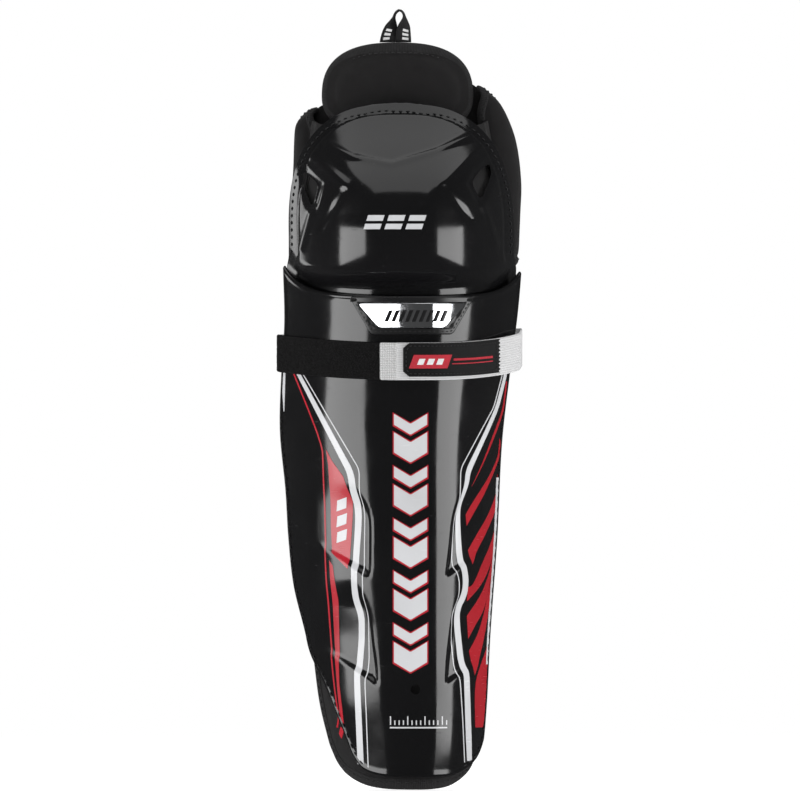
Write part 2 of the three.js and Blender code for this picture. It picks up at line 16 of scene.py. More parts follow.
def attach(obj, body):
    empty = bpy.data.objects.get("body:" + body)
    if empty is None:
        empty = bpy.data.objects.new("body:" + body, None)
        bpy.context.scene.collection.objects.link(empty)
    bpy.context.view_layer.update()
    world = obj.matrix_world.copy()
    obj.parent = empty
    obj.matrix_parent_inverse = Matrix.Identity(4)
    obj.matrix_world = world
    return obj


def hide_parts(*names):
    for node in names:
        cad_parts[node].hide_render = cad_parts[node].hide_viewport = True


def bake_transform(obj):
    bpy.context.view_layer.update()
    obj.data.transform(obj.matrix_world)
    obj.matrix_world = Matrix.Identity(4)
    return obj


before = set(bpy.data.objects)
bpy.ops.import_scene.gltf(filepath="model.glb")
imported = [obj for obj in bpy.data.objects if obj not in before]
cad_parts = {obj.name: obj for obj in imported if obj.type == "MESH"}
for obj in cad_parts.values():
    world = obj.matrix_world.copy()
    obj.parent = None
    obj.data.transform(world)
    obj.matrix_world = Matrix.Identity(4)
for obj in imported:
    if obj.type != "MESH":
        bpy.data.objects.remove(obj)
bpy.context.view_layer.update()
MM = 0.001

# ---- Driving dimensions, shared with the CAD source ------------------------------------------
SHELL = (0.0, -2.5)
CHASSIS = (-3.3, -10.3)
LINER = (-13.0, -20.0)
KNEE_CHASSIS = (-4.0, -10.0)
KNEE_LINER = (-13.4, -19.0)
KNEE = dict(x=1.4, z=385.0, lean=-0.02, half=80.3, rise=94.0, drop=59.0, front=-78.0, tuck=6.0)
THIGH = dict(x=-1.4, z=482.0, half=53.0, rise=37.8, drop=28.0, waist=0.12, pad=5.0, plate=1.5, gap=0.4)
STRAP = dict(height=26.0, thick=1.6, x=-0.75, span=84.4, back=78.0, z=298.0)
PILE_LIFT, ELASTIC_LIFT, TAB_LIFT = 1.2, 3.4, 5.5
CALF_WING = dict(low=62.0, high=276.0, reach=46.0, lead=6.0)
KNEE_WING = dict(reach=46.0, turn=0.4, depth=14.0, curl=12.0, inner_top=456.0)
WING_LAYERS = dict(outer=(0.0, 4.0), inner=(7.2, 11.2))
VENT_HOLE = dict(x=11.0, z=70.0, radius=3.2)
BADGE = dict(x=8.4, top=343.0, bottom=316.5, top_half=42.5, bottom_half=27.5)


# ---- Curves ----------------------------------------------------------------------------------
def lerp(a, b, t):
    return a + (b - a) * t


def smooth(x, low, high):
    t = np.clip((x - low) / (high - low), 0, 1)
    return t * t * (3 - 2 * t)


def unit(v):
    return v / np.maximum(np.linalg.norm(v, axis=-1, keepdims=True), 1e-12)


def bell(x, width):
    """A smooth hump, 1 at x = 0."""
    return np.exp(-((x / width) ** 2))


def power(v, exponent):
    """A power that keeps the sign."""
    return np.sign(v) * np.abs(v) ** exponent


def run_along(points):
    """The distance run along a line of points, from its first."""
    return np.concatenate([[0], np.cumsum(np.linalg.norm(np.diff(points, axis=0), axis=1))])


def picked(at, run, values):
    """Rows of values interpolated at distances along a run."""
    return np.stack([np.interp(at, run, values[:, k]) for k in range(values.shape[1])], -1)


def through(*knots):
    """A smooth curve through (position, value) knots, level past its two ends."""
    at = np.array([k[0] for k in knots], float)
    value = np.array([k[1] for k in knots], float)
    slope = np.empty(len(at))
    slope[1:-1] = (value[2:] - value[:-2]) / (at[2:] - at[:-2])
    slope[0] = (value[1] - value[0]) / (at[1] - at[0])
    slope[-1] = (value[-1] - value[-2]) / (at[-1] - at[-2])

    def curve(x):
        x = np.clip(x, at[0], at[-1])
        i = np.clip(np.searchsorted(at, x, side="right") - 1, 0, len(at) - 2)
        span = at[i + 1] - at[i]
        t = (x - at[i]) / span
        eased = lerp(value[i], value[i + 1], t * t * (3 - 2 * t))
        return eased + (t * (1 - t) ** 2 * slope[i] + t * t * (t - 1) * slope[i + 1]) * span

    return curve


# ---- The two moulded surfaces ----------------------------------------------------------------
shin_left = through(
    (0, -46), (25, -51), (58, -59), (92, -63.6), (108, -65.6), (142, -72.8),
    (175, -76), (208, -78), (250, -82.3), (290, -81.9), (325, -80.3), (360, -81.3),
)
shin_right = through(
    (0, 51.5), (25, 57.6), (58, 60.8), (108, 63.4), (175, 68.2),
    (242, 71.6), (292, 77.4), (325, 81.8), (342, 83.6), (360, 85.1),
)
shin_ridge = through((0, 13), (90, 12.5), (220, 9), (360, 7.5))
ridge_y = through((0, -48), (60, -51), (130, -55), (220, -60), (300, -64), (360, -66.5))
side_y = through((0, 2), (60, 6), (130, 10), (220, 12), (360, 12))
knee_middle = through(
    (352, -66), (364, -74), (378, -77.6), (395, KNEE["front"]), (419, -73), (437, -60), (470, -27), (480, -20)
)
knee_edge = through((400, 14), (416, 10), (440, 2), (465, -9), (480, -20))


def shin_across(x, z):
    """How far across the shin x lies: -1 at the outer side, 0 on the ridge, 1 at the inner side."""
    ridge = shin_ridge(z)
    reach = np.where(x < ridge, ridge - shin_left(z), shin_right(z) - ridge)
    return (x - ridge) / reach


def shin_x(u, z):
    return lerp(shin_ridge(z), np.where(u < 0, shin_left(z), shin_right(z)), np.abs(u))


def shin_y(x, z):
    return lerp(ridge_y(z), side_y(z), np.abs(shin_across(x, z)) ** 2.3)


def shin_top(u):
    return 343.5 + np.where(u < 0, 4 * u**2 + 17 * u**8, 2 * u**2 + 15 * u**8)


def knee_half(z):
    """Half the knee cap's width at a height."""
    up = np.minimum(np.maximum(z - KNEE["z"], 0) / KNEE["rise"], 0.999)
    return KNEE["half"] * (1 - up**2.6) ** (1 / 2.6)


def knee_y(x, z):
    across = np.minimum(np.abs(x - KNEE["x"]) / knee_half(z), 1.25)
    dome = lerp(knee_middle(z), knee_edge(z), across**2.5)
    slope = shin_y(x + 0.5, z) - shin_y(x - 0.5, z)
    nested = shin_y(x, z) + KNEE["tuck"] * np.sqrt(1 + slope * slope)
    lip = shin_top(np.clip(shin_across(x, z), -1, 1))
    return lerp(nested, dome, smooth(z, lip + 3, lip + 18))


def on_surface(surface_y, x, z, depth):
    """Points at (x, z) on a surface, moved outwards by depth along the surface's own normal."""
    x, z, depth = np.broadcast_arrays(np.asarray(x, float), z, depth)
    e = 0.5
    dx = (surface_y(x + e, z) - surface_y(x - e, z)) / (2 * e)
    dz = (surface_y(x, z + e) - surface_y(x, z - e)) / (2 * e)
    normal = unit(np.stack([dx, -np.ones_like(dx), dz], -1))
    return np.stack([x, surface_y(x, z), z], -1) + normal * depth[..., None]


# ---- Relief of the shell and the knee cap ----------------------------------------------------
# A scoop is cut steeply at its inner edge and fades out towards the side: side, inner edge by height, the tip
# at its foot, the height where its top has faded out, and how deep it is.
SCOOPS = [
    dict(side=-1, edge=through((148, -21), (155, -20), (187, -20), (195, -22), (205, -27), (214, -33)),
         tip=(-21, 148), top=216, deep=2.8),
    dict(side=-1, edge=through((73, -15), (85, -15.5), (100, -17.5), (120, -20), (133, -24.5), (146, -31)),
         tip=(-15, 73.5), top=148, deep=2.6),
    dict(side=1, edge=through((148, 32), (155, 33), (170, 35), (187, 37), (195, 39), (214, 46)),
         tip=(32, 148), top=216, deep=2.4),
    dict(side=1, edge=through((73, 32), (85, 32.5), (100, 34), (125, 38), (146, 44)),
         tip=(32, 73.7), top=148, deep=2.2),
]
SCOOP_SLOPE = 0.65  # how fast a scoop's floor climbs towards its side
SCOOP_FADE = 58  # how far out from the middle a scoop has faded away


def scoop_depth(scoop, x, z):
    side, edge = scoop["side"], scoop["edge"](z)
    tip_x, tip_z = scoop["tip"]
    wall = smooth(side * (x - edge), -1.2, 3.4)
    floor = smooth(z - (tip_z + SCOOP_SLOPE * side * (x - tip_x)), -2, 3.5)
    top = 1 - smooth(z, scoop["top"] - 22, scoop["top"])
    fade = np.clip((SCOOP_FADE - side * x) / (SCOOP_FADE - side * edge), 0, 1)
    return -scoop["deep"] * wall * floor * top * fade**0.8


def shin_relief(x, z):
    return sum(scoop_depth(scoop, x, z) for scoop in SCOOPS)


def line_distance(x, z, points):
    """How far each (x, z) is from a line of points."""
    best = np.full(np.shape(x), 1e9)
    for (ax, az), (bx, bz) in zip(points[:-1], points[1:]):
        dx, dz = bx - ax, bz - az
        t = np.clip(((x - ax) * dx + (z - az) * dz) / (dx * dx + dz * dz), 0, 1)
        best = np.minimum(best, np.hypot(x - ax - t * dx, z - az - t * dz))
    return best


# Raised ridges and sunk grooves of the knee cap: height, half width, and the line each follows.
KNEE_LINES = [
    (0.9, 1.9, [(-50, 449), (-31.6, 440), (-5.6, 434.6), (25.6, 444), (49, 455)]),
    (1.1, 3.4, [(-60, 440.3), (-37.9, 420.5)]),
    (1.1, 3.4, [(56, 447.6), (29.8, 421.5)]),
    (-0.8, 2.3, [(-38.5, 416), (-54.6, 390.3)]),
    (-0.8, 2.3, [(30.5, 419), (49.6, 396.6)]),
    (0.9, 2.4, [(-60.3, 404.3), (-68.5, 376)]),
    (0.9, 2.4, [(56.9, 409.6), (67, 379)]),
]
# The outlines of the cap's two side vents.
VENTS = (
    [(-67.5, 431), (-56, 421), (-60.5, 404.5), (-66.5, 419)],
    [(62.5, 435.5), (64, 428), (56.5, 409.5), (50, 421.5), (55, 430)],
)
KNEE_FLANGE = 7.0  # the width of the flat rim round the knee cap
KNEE_SEAM = KNEE_FLANGE + 0.6  # how far in the cap's stitched groove runs


def knee_radius(angle):
    lower = np.sin(angle) < 0
    n = np.where(lower, 6.0, 2.6)
    across = np.abs(np.cos(angle)) / KNEE["half"]
    upright = np.abs(np.sin(angle)) / np.where(lower, KNEE["drop"], KNEE["rise"])
    return (across**n + upright**n) ** (-1 / n)


def knee_point(r, angle):
    radius = r * knee_radius(angle)
    rise = radius * np.sin(angle)
    return KNEE["x"] + radius * np.cos(angle) + KNEE["lean"] * np.maximum(rise, 0), KNEE["z"] + rise


def knee_relief(x, z):
    rise = z - KNEE["z"]
    across = x - KNEE["x"] - KNEE["lean"] * np.maximum(rise, 0)
    inside = knee_radius(np.arctan2(rise, across)) - np.hypot(across, rise)
    flange = -1.5 * (1 - smooth(inside, KNEE_FLANGE - 1, KNEE_FLANGE + 2.5)) * smooth(z, 362, 372)
    groove = -0.9 * bell(inside - KNEE_SEAM, 0.9) * smooth(z, 366, 376)
    creases = sum(height * bell(line_distance(x, z, line), wide) for height, wide, line in KNEE_LINES)
    vents = sum(-1.3 * (1 - smooth(line_distance(x, z, vent + vent[:1]), 0.5, 4.5)) for vent in VENTS)
    return flange + groove + creases + vents


# ---- Meshes ----------------------------------------------------------------------------------
WEAVE = "Weave"  # the UV map that carries each sheet's own run in millimetres, for woven materials


def mesh_object(name, points, faces, uv=None, sharp=40):
    """A mesh object from points in millimetres, wound so that its faces look outwards."""
    mesh = bpy.data.meshes.new(name)
    mesh.from_pydata((np.asarray(points, float) * MM).tolist(), [], [list(f) for f in faces])
    piece = placed(name, mesh)
    mesh.calc_loop_triangles()
    corners = np.empty(len(mesh.loop_triangles) * 3, int)
    mesh.loop_triangles.foreach_get("vertices", corners)
    a, b, c = coordinates(mesh)[corners.reshape(-1, 3).T]
    if np.einsum("ij,ij->", a, np.cross(b, c)) < 0:
        mesh.flip_normals()
    if uv is not None:
        layer = mesh.uv_layers.new(name=WEAVE)
        corners = np.empty(len(mesh.loops), int)
        mesh.loops.foreach_get("vertex_index", corners)
        layer.data.foreach_set("uv", np.asarray(uv, np.float32)[corners].ravel())
    shade(mesh, sharp)
    return piece


def placed(name, data):
    """A new object in the scene."""
    made = bpy.data.objects.new(name, data)
    bpy.context.scene.collection.objects.link(made)
    return made


def shade(mesh, sharp):
    mesh.polygons.foreach_set("use_smooth", np.ones(len(mesh.polygons), bool))
    mesh.set_sharp_from_angle(angle=math.radians(sharp))
    mesh.update()


def coordinates(mesh):
    co = np.empty(len(mesh.vertices) * 3)
    mesh.vertices.foreach_get("co", co)
    return co.reshape(-1, 3)


def apply_modifiers(piece):
    graph = bpy.context.evaluated_depsgraph_get()
    done = bpy.data.meshes.new_from_object(piece.evaluated_get(graph))
    piece.modifiers.clear()
    old = piece.data
    piece.data = done
    bpy.data.meshes.remove(old)


def border_of(grid):
    """The numbers of a grid's border points, in order round it."""
    index = np.arange(grid.shape[0] * grid.shape[1]).reshape(grid.shape[:2])
    return np.concatenate([index[0, :-1], index[:-1, -1], index[-1, :0:-1], index[:0:-1, 0]])


def closed_sheet(front, back):
    """The points and faces of a closed sheet between two grids of points, each rows x columns x 3."""
    index = np.arange(front.shape[0] * front.shape[1]).reshape(front.shape[:2])
    quads = np.stack([index[:-1, :-1], index[:-1, 1:], index[1:, 1:], index[1:, :-1]], -1).reshape(-1, 4)
    border = border_of(front)
    after = np.roll(border, -1)
    walls = np.stack([border, border + index.size, after + index.size, after], -1)
    faces = np.concatenate([quads, quads[:, ::-1] + index.size, walls])
    return np.concatenate([front.reshape(-1, 3), back.reshape(-1, 3)]), faces


def closed_grid(name, front, back, uv=None, sharp=40):
    """A closed sheet as an object."""
    points, faces = closed_sheet(front, back)
    if uv is not None:
        uv = np.concatenate([uv.reshape(-1, 2)] * 2)
    return mesh_object(name, points, faces.tolist(), uv, sharp)


def thin_sheet(name, at, s, t, half):
    """A closed sheet of cloth that reaches half its thickness to both sides of at(s, t, 0)."""
    half = half + 0 * s
    return closed_grid(name, at(s, t, half), at(s, t, -half), run_lengths(at(s, t, 0 * s)))


def sheets_object(name, sheets):
    """One object made of several closed sheets, each given by its front and back points."""
    points, faces, count = [], [], 0
    for front, back in sheets:
        own, quads = closed_sheet(front, back)
        corner = (own - own.mean(axis=0))[quads]
        halves = np.cross(corner[:, 1], corner[:, 2]) + np.cross(corner[:, 2], corner[:, 3])
        wound_outwards = np.einsum("ij,ij->", corner[:, 0], halves) > 0
        faces += ((quads if wound_outwards else quads[:, ::-1]) + count).tolist()
        points.append(own)
        count += len(own)
    return mesh_object(name, np.concatenate(points), faces)


def sweep(name, rings, uv_along=None, closed=True, sharp=50):
    """A solid swept through rings of points: stations x corners x 3, joined end to end if closed."""
    stations, corners = rings.shape[:2]
    index = np.arange(stations * corners).reshape(stations, corners)
    here, after = (index, np.roll(index, -1, axis=0)) if closed else (index[:-1], index[1:])
    faces = np.stack([here, np.roll(here, -1, axis=1), np.roll(after, -1, axis=1), after], -1)
    faces = faces.reshape(-1, 4).tolist()
    if not closed:
        faces += [index[0][::-1].tolist(), index[-1].tolist()]
    along = np.zeros(stations) if uv_along is None else uv_along
    uv = np.stack(np.broadcast_arrays(along[:, None], run_along(rings[0])[None, :]), -1).reshape(-1, 2)
    return mesh_object(name, rings.reshape(-1, 3), faces, uv, sharp)


def lines(length, step, *insets):
    """Positions from 0 to 1 along a length, evenly spaced, with extra ones at distances in from both ends."""
    insets = [0.0, *insets]
    count = max(2, int(round((length - 2 * insets[-1]) / step)) + 1)
    middle = np.linspace(insets[-1], length - insets[-1], count)
    ends = np.array(insets[:-1])
    return np.concatenate([ends, middle, length - ends[::-1]]) / length


def sheet_grid(width, height, step, *insets, up=None):
    """A grid over a sheet: s from -1 to 1 across and t from 0 to 1 up, with extra lines near the rim."""
    return np.meshgrid(2 * lines(width, step, *insets) - 1, lines(height, up or step, *insets))


def rim_distance(grid):
    """How far each point of a grid is from its border."""
    loop = grid.reshape(-1, 3)[border_of(grid)]
    after = np.roll(loop, -1, axis=0)
    dense = np.concatenate([lerp(loop, after, t) for t in (0, 0.25, 0.5, 0.75)])
    tree = KDTree(len(dense))
    for i, p in enumerate(dense):
        tree.insert(p, i)
    tree.balance()
    return np.array([tree.find(p)[2] for p in grid.reshape(-1, 3)]).reshape(grid.shape[:2])


def run_lengths(grid):
    """Each grid point's run along its row and up its column, in millimetres."""
    across = np.linalg.norm(np.diff(grid, axis=1), axis=2)
    upwards = np.linalg.norm(np.diff(grid, axis=0), axis=2)
    u = np.concatenate([np.zeros((grid.shape[0], 1)), np.cumsum(across, axis=1)], axis=1)
    v = np.concatenate([np.zeros((1, grid.shape[1])), np.cumsum(upwards, axis=0)], axis=0)
    middle = grid.shape[1] // 2
    return np.stack([u - u[:, middle : middle + 1], v], -1)


def rim_drop(distance, radius):
    """How far a rounded rim has fallen away at a distance in from the border."""
    short = np.maximum(radius - distance, 0)
    return radius - np.sqrt(np.maximum(radius * radius - short * short, 0))


def evened(values, times=2):
    """Values round a closed border, each averaged with its neighbours."""
    for _ in range(times):
        values = (np.roll(values, 1, 0) + values + np.roll(values, -1, 0)) / 3
    return values


class Border:
    """A sheet's border in order: middle points, outward directions and front normals."""

    def __init__(self, front, back):
        order = border_of(front)
        f, b = front.reshape(-1, 3)[order], back.reshape(-1, 3)[order]
        self.points = (f + b) / 2
        self.normals = unit(f - b)
        along = np.roll(self.points, -1, axis=0) - np.roll(self.points, 1, axis=0)
        out = unit(np.cross(unit(along), self.normals))
        away = np.einsum("ij,ij->", out, self.points - self.points.mean(axis=0))
        self.out = out if away > 0 else -out

    def evenly(self, spacing):
        """The same border with its points a set spacing apart. Returns points, out, normals and runs."""
        run = run_along(np.concatenate([self.points, self.points[:1]]))
        count = max(8, int(round(run[-1] / spacing)))
        at = np.arange(count) * run[-1] / count
        points, out, normals = (
            picked(at, run, np.concatenate([v, v[:1]])) for v in (self.points, self.out, self.normals)
        )
        return evened(points, 1), unit(evened(out)), unit(evened(normals)), at


# ---- Sewing ----------------------------------------------------------------------------------
THREAD = 0.42  # radius of the sewing thread


def stitches(name, centres, along, normals, length, radius=THREAD):
    """A seam of short thread loops, each arched over the surface with its two ends sunk in it."""
    stations = np.linspace(-1, 1, 6)
    turns = np.linspace(0, 2 * np.pi, 6, endpoint=False)
    along = unit(along - normals * np.einsum("ij,ij->i", along, normals)[:, None])
    side = np.cross(along, normals)
    arch = radius * (1.0 - 1.9 * stations**2)
    girth = radius * np.sqrt(1.05 - stations**2 * 0.8)
    reach = (stations * length / 2)[None, :, None]
    middle = centres[:, None] + along[:, None] * reach + normals[:, None] * arch[None, :, None]
    cos, sin = (f(turns)[None, :, None] for f in (np.cos, np.sin))
    ring = (side[:, None] * cos + normals[:, None] * sin)[:, None]
    points = middle[:, :, None] + ring * girth[None, :, None, None]
    per = len(stations) * len(turns)
    index = np.arange(per).reshape(len(stations), len(turns))
    here, after = index[:-1], index[1:]
    tube = np.stack([here, np.roll(here, -1, 1), np.roll(after, -1, 1), after], -1).reshape(-1, 4)
    faces = []
    for i in range(len(centres)):
        faces += (tube + i * per).tolist()
        faces += [(index[0][::-1] + i * per).tolist(), (index[-1] + i * per).tolist()]
    return mesh_object(name, points.reshape(-1, 3), faces)


def seam(name, piece, points, towards, pitch, length=None, keep=None, radius=THREAD):
    """Stitches on a piece, dropped on to its surface along -towards from above each point of a line."""
    tree = BVHTree.FromObject(piece, bpy.context.evaluated_depsgraph_get())
    run = run_along(points)
    at = np.arange(pitch / 2, run[-1], pitch)
    spot, look = picked(at, run, points), unit(picked(at, run, towards))
    centres, normals, found = [], [], []
    for i in range(len(at)):
        place, normal = tree.ray_cast(Vector((spot[i] + look[i] * 12) * MM), Vector(-look[i]), 24 * MM)[:2]
        if place is not None and (keep is None or keep(np.array(place) / MM)):
            centres.append(np.array(place) / MM)
            normals.append(np.array(normal))
            found.append(i)
    found = np.array(found)
    along = spot[np.minimum(found + 1, len(at) - 1)] - spot[np.maximum(found - 1, 0)]
    normals = np.array(normals)
    normals *= np.sign(np.einsum("ij,ij->i", normals, look[found]))[:, None]
    return stitches(name, np.array(centres), along, normals, length or pitch * 0.66, radius)


def border_seam(name, piece, border, inset, pitch, flip=1, **options):
    """Stitches that follow a border at a distance in from it, on its front or, flipped, on its back."""
    points, out, normals, _ = border.evenly(1.5)
    line, facing = points - out * inset, normals * flip
    line, facing = (np.concatenate([v, v[:1]]) for v in (line, facing))
    return seam(name, piece, line, facing, pitch, **options)


def edge_tape(name, border, half, reach, thick=0.8):
    """Binding folded round a border: over the front, round the rim and back under."""
    points, out, normals, run = border.evenly(2.0)
    turning = np.linalg.norm(np.roll(out, -1, 0) - np.roll(out, 1, 0), axis=1) / 4.0
    room = np.minimum(reach, 0.8 / np.maximum(turning, 1e-6))
    room = evened(np.minimum.reduce([np.roll(room, k) for k in (-2, -1, 0, 1, 2)])) / reach
    top, low = half + thick, half - 0.5
    bulge = thick + 0.35
    over = [(-reach, top - 0.35), (-reach + 0.5, top), (-reach * 0.5, top + 0.12), (-0.9, top - 0.1),
            (bulge * 0.7, half * 0.72)]
    under = [(a, -b) for a, b in reversed(over)]
    inner = [(-reach, -low), (-1.6, -low * 0.8), (-0.4, 0), (-1.6, low * 0.8), (-reach, low)]
    a, b = np.array(over + [(bulge, 0)] + under + inner).T
    a = a[None, :] * np.where(a < -1.6, room[:, None], 1.0)
    rings = points[:, None, :] + out[:, None, :] * a[:, :, None] + normals[:, None, :] * b[None, :, None]
    return sweep(name, rings, run, closed=True, sharp=60)


# ---- Padded pieces ---------------------------------------------------------------------------
SOFT = []  # padded pieces waiting to be blown up by the cloth simulation


def sheet_lines(width, height, corner, s_lines, t_lines):
    """A grid over a sheet whose corners are rounded: s from -1 to 1 across and t from 0 to 1 up."""
    s, t = np.meshgrid(2 * s_lines - 1, t_lines)
    return s * (1 - 2 * rim_drop(np.minimum(t, 1 - t) * height, corner) / width), t


def soft_pad(name, at, width, height, front, back, step=5.0, sewn=5.0, corner=8.0, rim=None, ease=7.0,
             groove=1.2, puff=(2.0, 0.0), channels=(), held=None):
    """A padded sheet between two depths, with a rounded rim, a sewn line inside its border and free, puffed
    faces. at(s, t, depth) gives its points."""
    towards = math.copysign(1, front - back)
    rim_front, rim_back = rim or (front, back)
    insets = (0.8, 2.2, sewn - 1.3, sewn, sewn + 1.3)
    s_lines = lines(width, step, *insets)
    for channel in channels:
        s_lines = np.concatenate([s_lines, channel + np.array([-1.3, 0, 1.3]) / width])
    s_lines = np.unique(np.round(s_lines, 4))
    s, t = sheet_lines(width, height, corner, s_lines, lines(height, step, *insets))
    middle = at(s, t, (rim_front + rim_back) / 2)
    distance = rim_distance(middle)
    line = bell(distance - sewn, 1.1)
    for channel in channels:
        quilting = bell(((s + 1) / 2 - channel) * width, 1.1)
        line = np.maximum(line, smooth(distance, sewn - 1, sewn + 1) * quilting)
    hem = max(sewn - 5.5, 0)
    eased = smooth(distance, hem, hem + ease)
    drop = rim_drop(distance, abs(rim_front - rim_back) * 0.46)
    f = lerp(rim_front, front, eased) - towards * (drop + groove * line * (puff[0] > 0))
    b = lerp(rim_back, back, eased) + towards * (drop + groove * line * (puff[1] > 0))
    piece = closed_grid(name, at(s, t, f), at(s, t, b), run_lengths(middle))
    free = (distance > sewn + 0.4) & (line < 0.4)
    if held is not None:
        free &= ~held(middle)
    moving = np.concatenate([(free & (reach > 0)).ravel() for reach in puff])
    rise = np.tile(smooth(distance - sewn, 0, 12).ravel(), 2)
    soften(piece, moving, np.repeat(np.array(puff, float), s.size), rise)
    return piece, Border(at(s, t, rim_front), at(s, t, rim_back))


def soften(piece, moving, reach, rise):
    """Notes which of a piece's points may move when it is blown up, and how far."""
    group = piece.vertex_groups.new(name="held")
    group.add(np.flatnonzero(~moving).tolist(), 1.0, "REPLACE")
    SOFT.append(dict(piece=piece, moving=moving, reach=reach, rise=rise))


def add_cloth(piece):
    cloth = piece.modifiers.new("Cloth", "CLOTH")
    settings = dict(quality=4, use_pressure=True, uniform_pressure_force=CLOTH_PRESSURE,
                    vertex_group_mass="held", tension_stiffness=12, compression_stiffness=6,
                    bending_stiffness=0.4)
    for key, value in settings.items():
        setattr(cloth.settings, key, value)
    cloth.settings.effector_weights.gravity = 0
    cloth.collision_settings.use_collision = False
    cloth.collision_settings.use_self_collision = False
    cloth.point_cache.frame_start, cloth.point_cache.frame_end = 1, CLOTH_FRAMES


CLOTH_PRESSURE = 4.0
CLOTH_FRAMES = 20


def inflate():
    """Blows every soft piece up between its sewn lines, caps how far it went and smooths it once."""
    for soft in SOFT:
        add_cloth(soft["piece"])
    for number in range(1, CLOTH_FRAMES + 1):
        bpy.context.scene.frame_set(number)
    graph = bpy.context.evaluated_depsgraph_get()
    for soft in SOFT:
        piece = soft["piece"]
        rest = coordinates(piece.data)
        moved = coordinates(piece.evaluated_get(graph).data) - rest
        size = np.linalg.norm(moved, axis=1)
        cap = np.maximum(soft["reach"] * MM, 1e-7)
        soft["new"] = rest + moved * (cap * np.tanh(size / cap) / np.maximum(size, 1e-9))[:, None]
    for soft in SOFT:
        piece = soft["piece"]
        piece.modifiers.clear()
        piece.data.vertices.foreach_set("co", soft["new"].ravel())
        piece.vertex_groups.clear()
        finer = piece.modifiers.new("Finer", "SUBSURF")
        finer.levels = finer.render_levels = 1
        apply_modifiers(piece)
        shade(piece.data, 60)
    bpy.context.scene.frame_set(1)


# ---- Prints ----------------------------------------------------------------------------------
def resample(points, count):
    points = np.asarray(points, float)
    run = run_along(points)
    return picked(np.linspace(0, run[-1], count), run, points)


def curved(points, times=2, reach=60.0):
    """A line of points with its corners cut round, keeping both ends. No cut reaches further than reach."""
    points = np.asarray(points, float)
    for _ in range(times):
        a, b = points[:-1], points[1:]
        share = np.minimum(0.25, reach / np.linalg.norm(b - a, axis=1))[:, None]
        reach = reach / 2
        cut = np.stack([lerp(a, b, share), lerp(a, b, 1 - share)], 1).reshape(-1, 2)
        points = np.concatenate([points[:1], cut[1:-1], points[-1:]])
    return points


def stripe(points, width, reach=60.0):
    """The two edges of a stripe along a line of (x, z) points, its width one number or several along it."""
    line = resample(curved(points, 2, reach), 240)
    along = unit(np.gradient(line, axis=0))
    across = np.stack([along[:, 1], -along[:, 0]], -1)
    wide = np.interp(np.linspace(0, 1, len(line)), np.linspace(0, 1, np.size(width)), np.atleast_1d(width))
    return line - across * wide[:, None] / 2, line + across * wide[:, None] / 2


def bar(x0, x1, z0, z1, lean=0.0, rise=0.0):
    """A slanted bar: its sides lean by so much x from bottom to top, its ends rise by so much z across."""
    return ([(x0, z0), (x0 + lean, z1)], [(x1, z0 + rise), (x1 + lean, z1 + rise)])


def printed(name, at, shapes, lift=0.16, spacing=1.3, sink=0.4, bulge=0.0):
    """Ink or a thin raised badge lying on a surface. Each shape is a pair of edges filled in between."""
    sheets = []
    for left, right in shapes:
        longest = max(run_along(np.asarray(edge, float))[-1] for edge in (left, right))
        count = max(2, math.ceil(longest / spacing) + 1)
        left, right = resample(left, count), resample(right, count)
        cells = max(1, math.ceil(np.linalg.norm(right - left, axis=1).max() / (spacing * 1.2)))
        k = np.linspace(0, 1, cells + 1)[None, :, None]
        flat = lerp(left[:, None, :], right[:, None, :], k)
        x, z = flat[..., 0], flat[..., 1]
        crown = bulge * (1 - (2 * k[..., 0] - 1) ** 4) * np.ones_like(x)
        sheets.append((at(x, z, lift + crown), at(x, z, lift - sink)))
    return sheets_object(name, sheets)


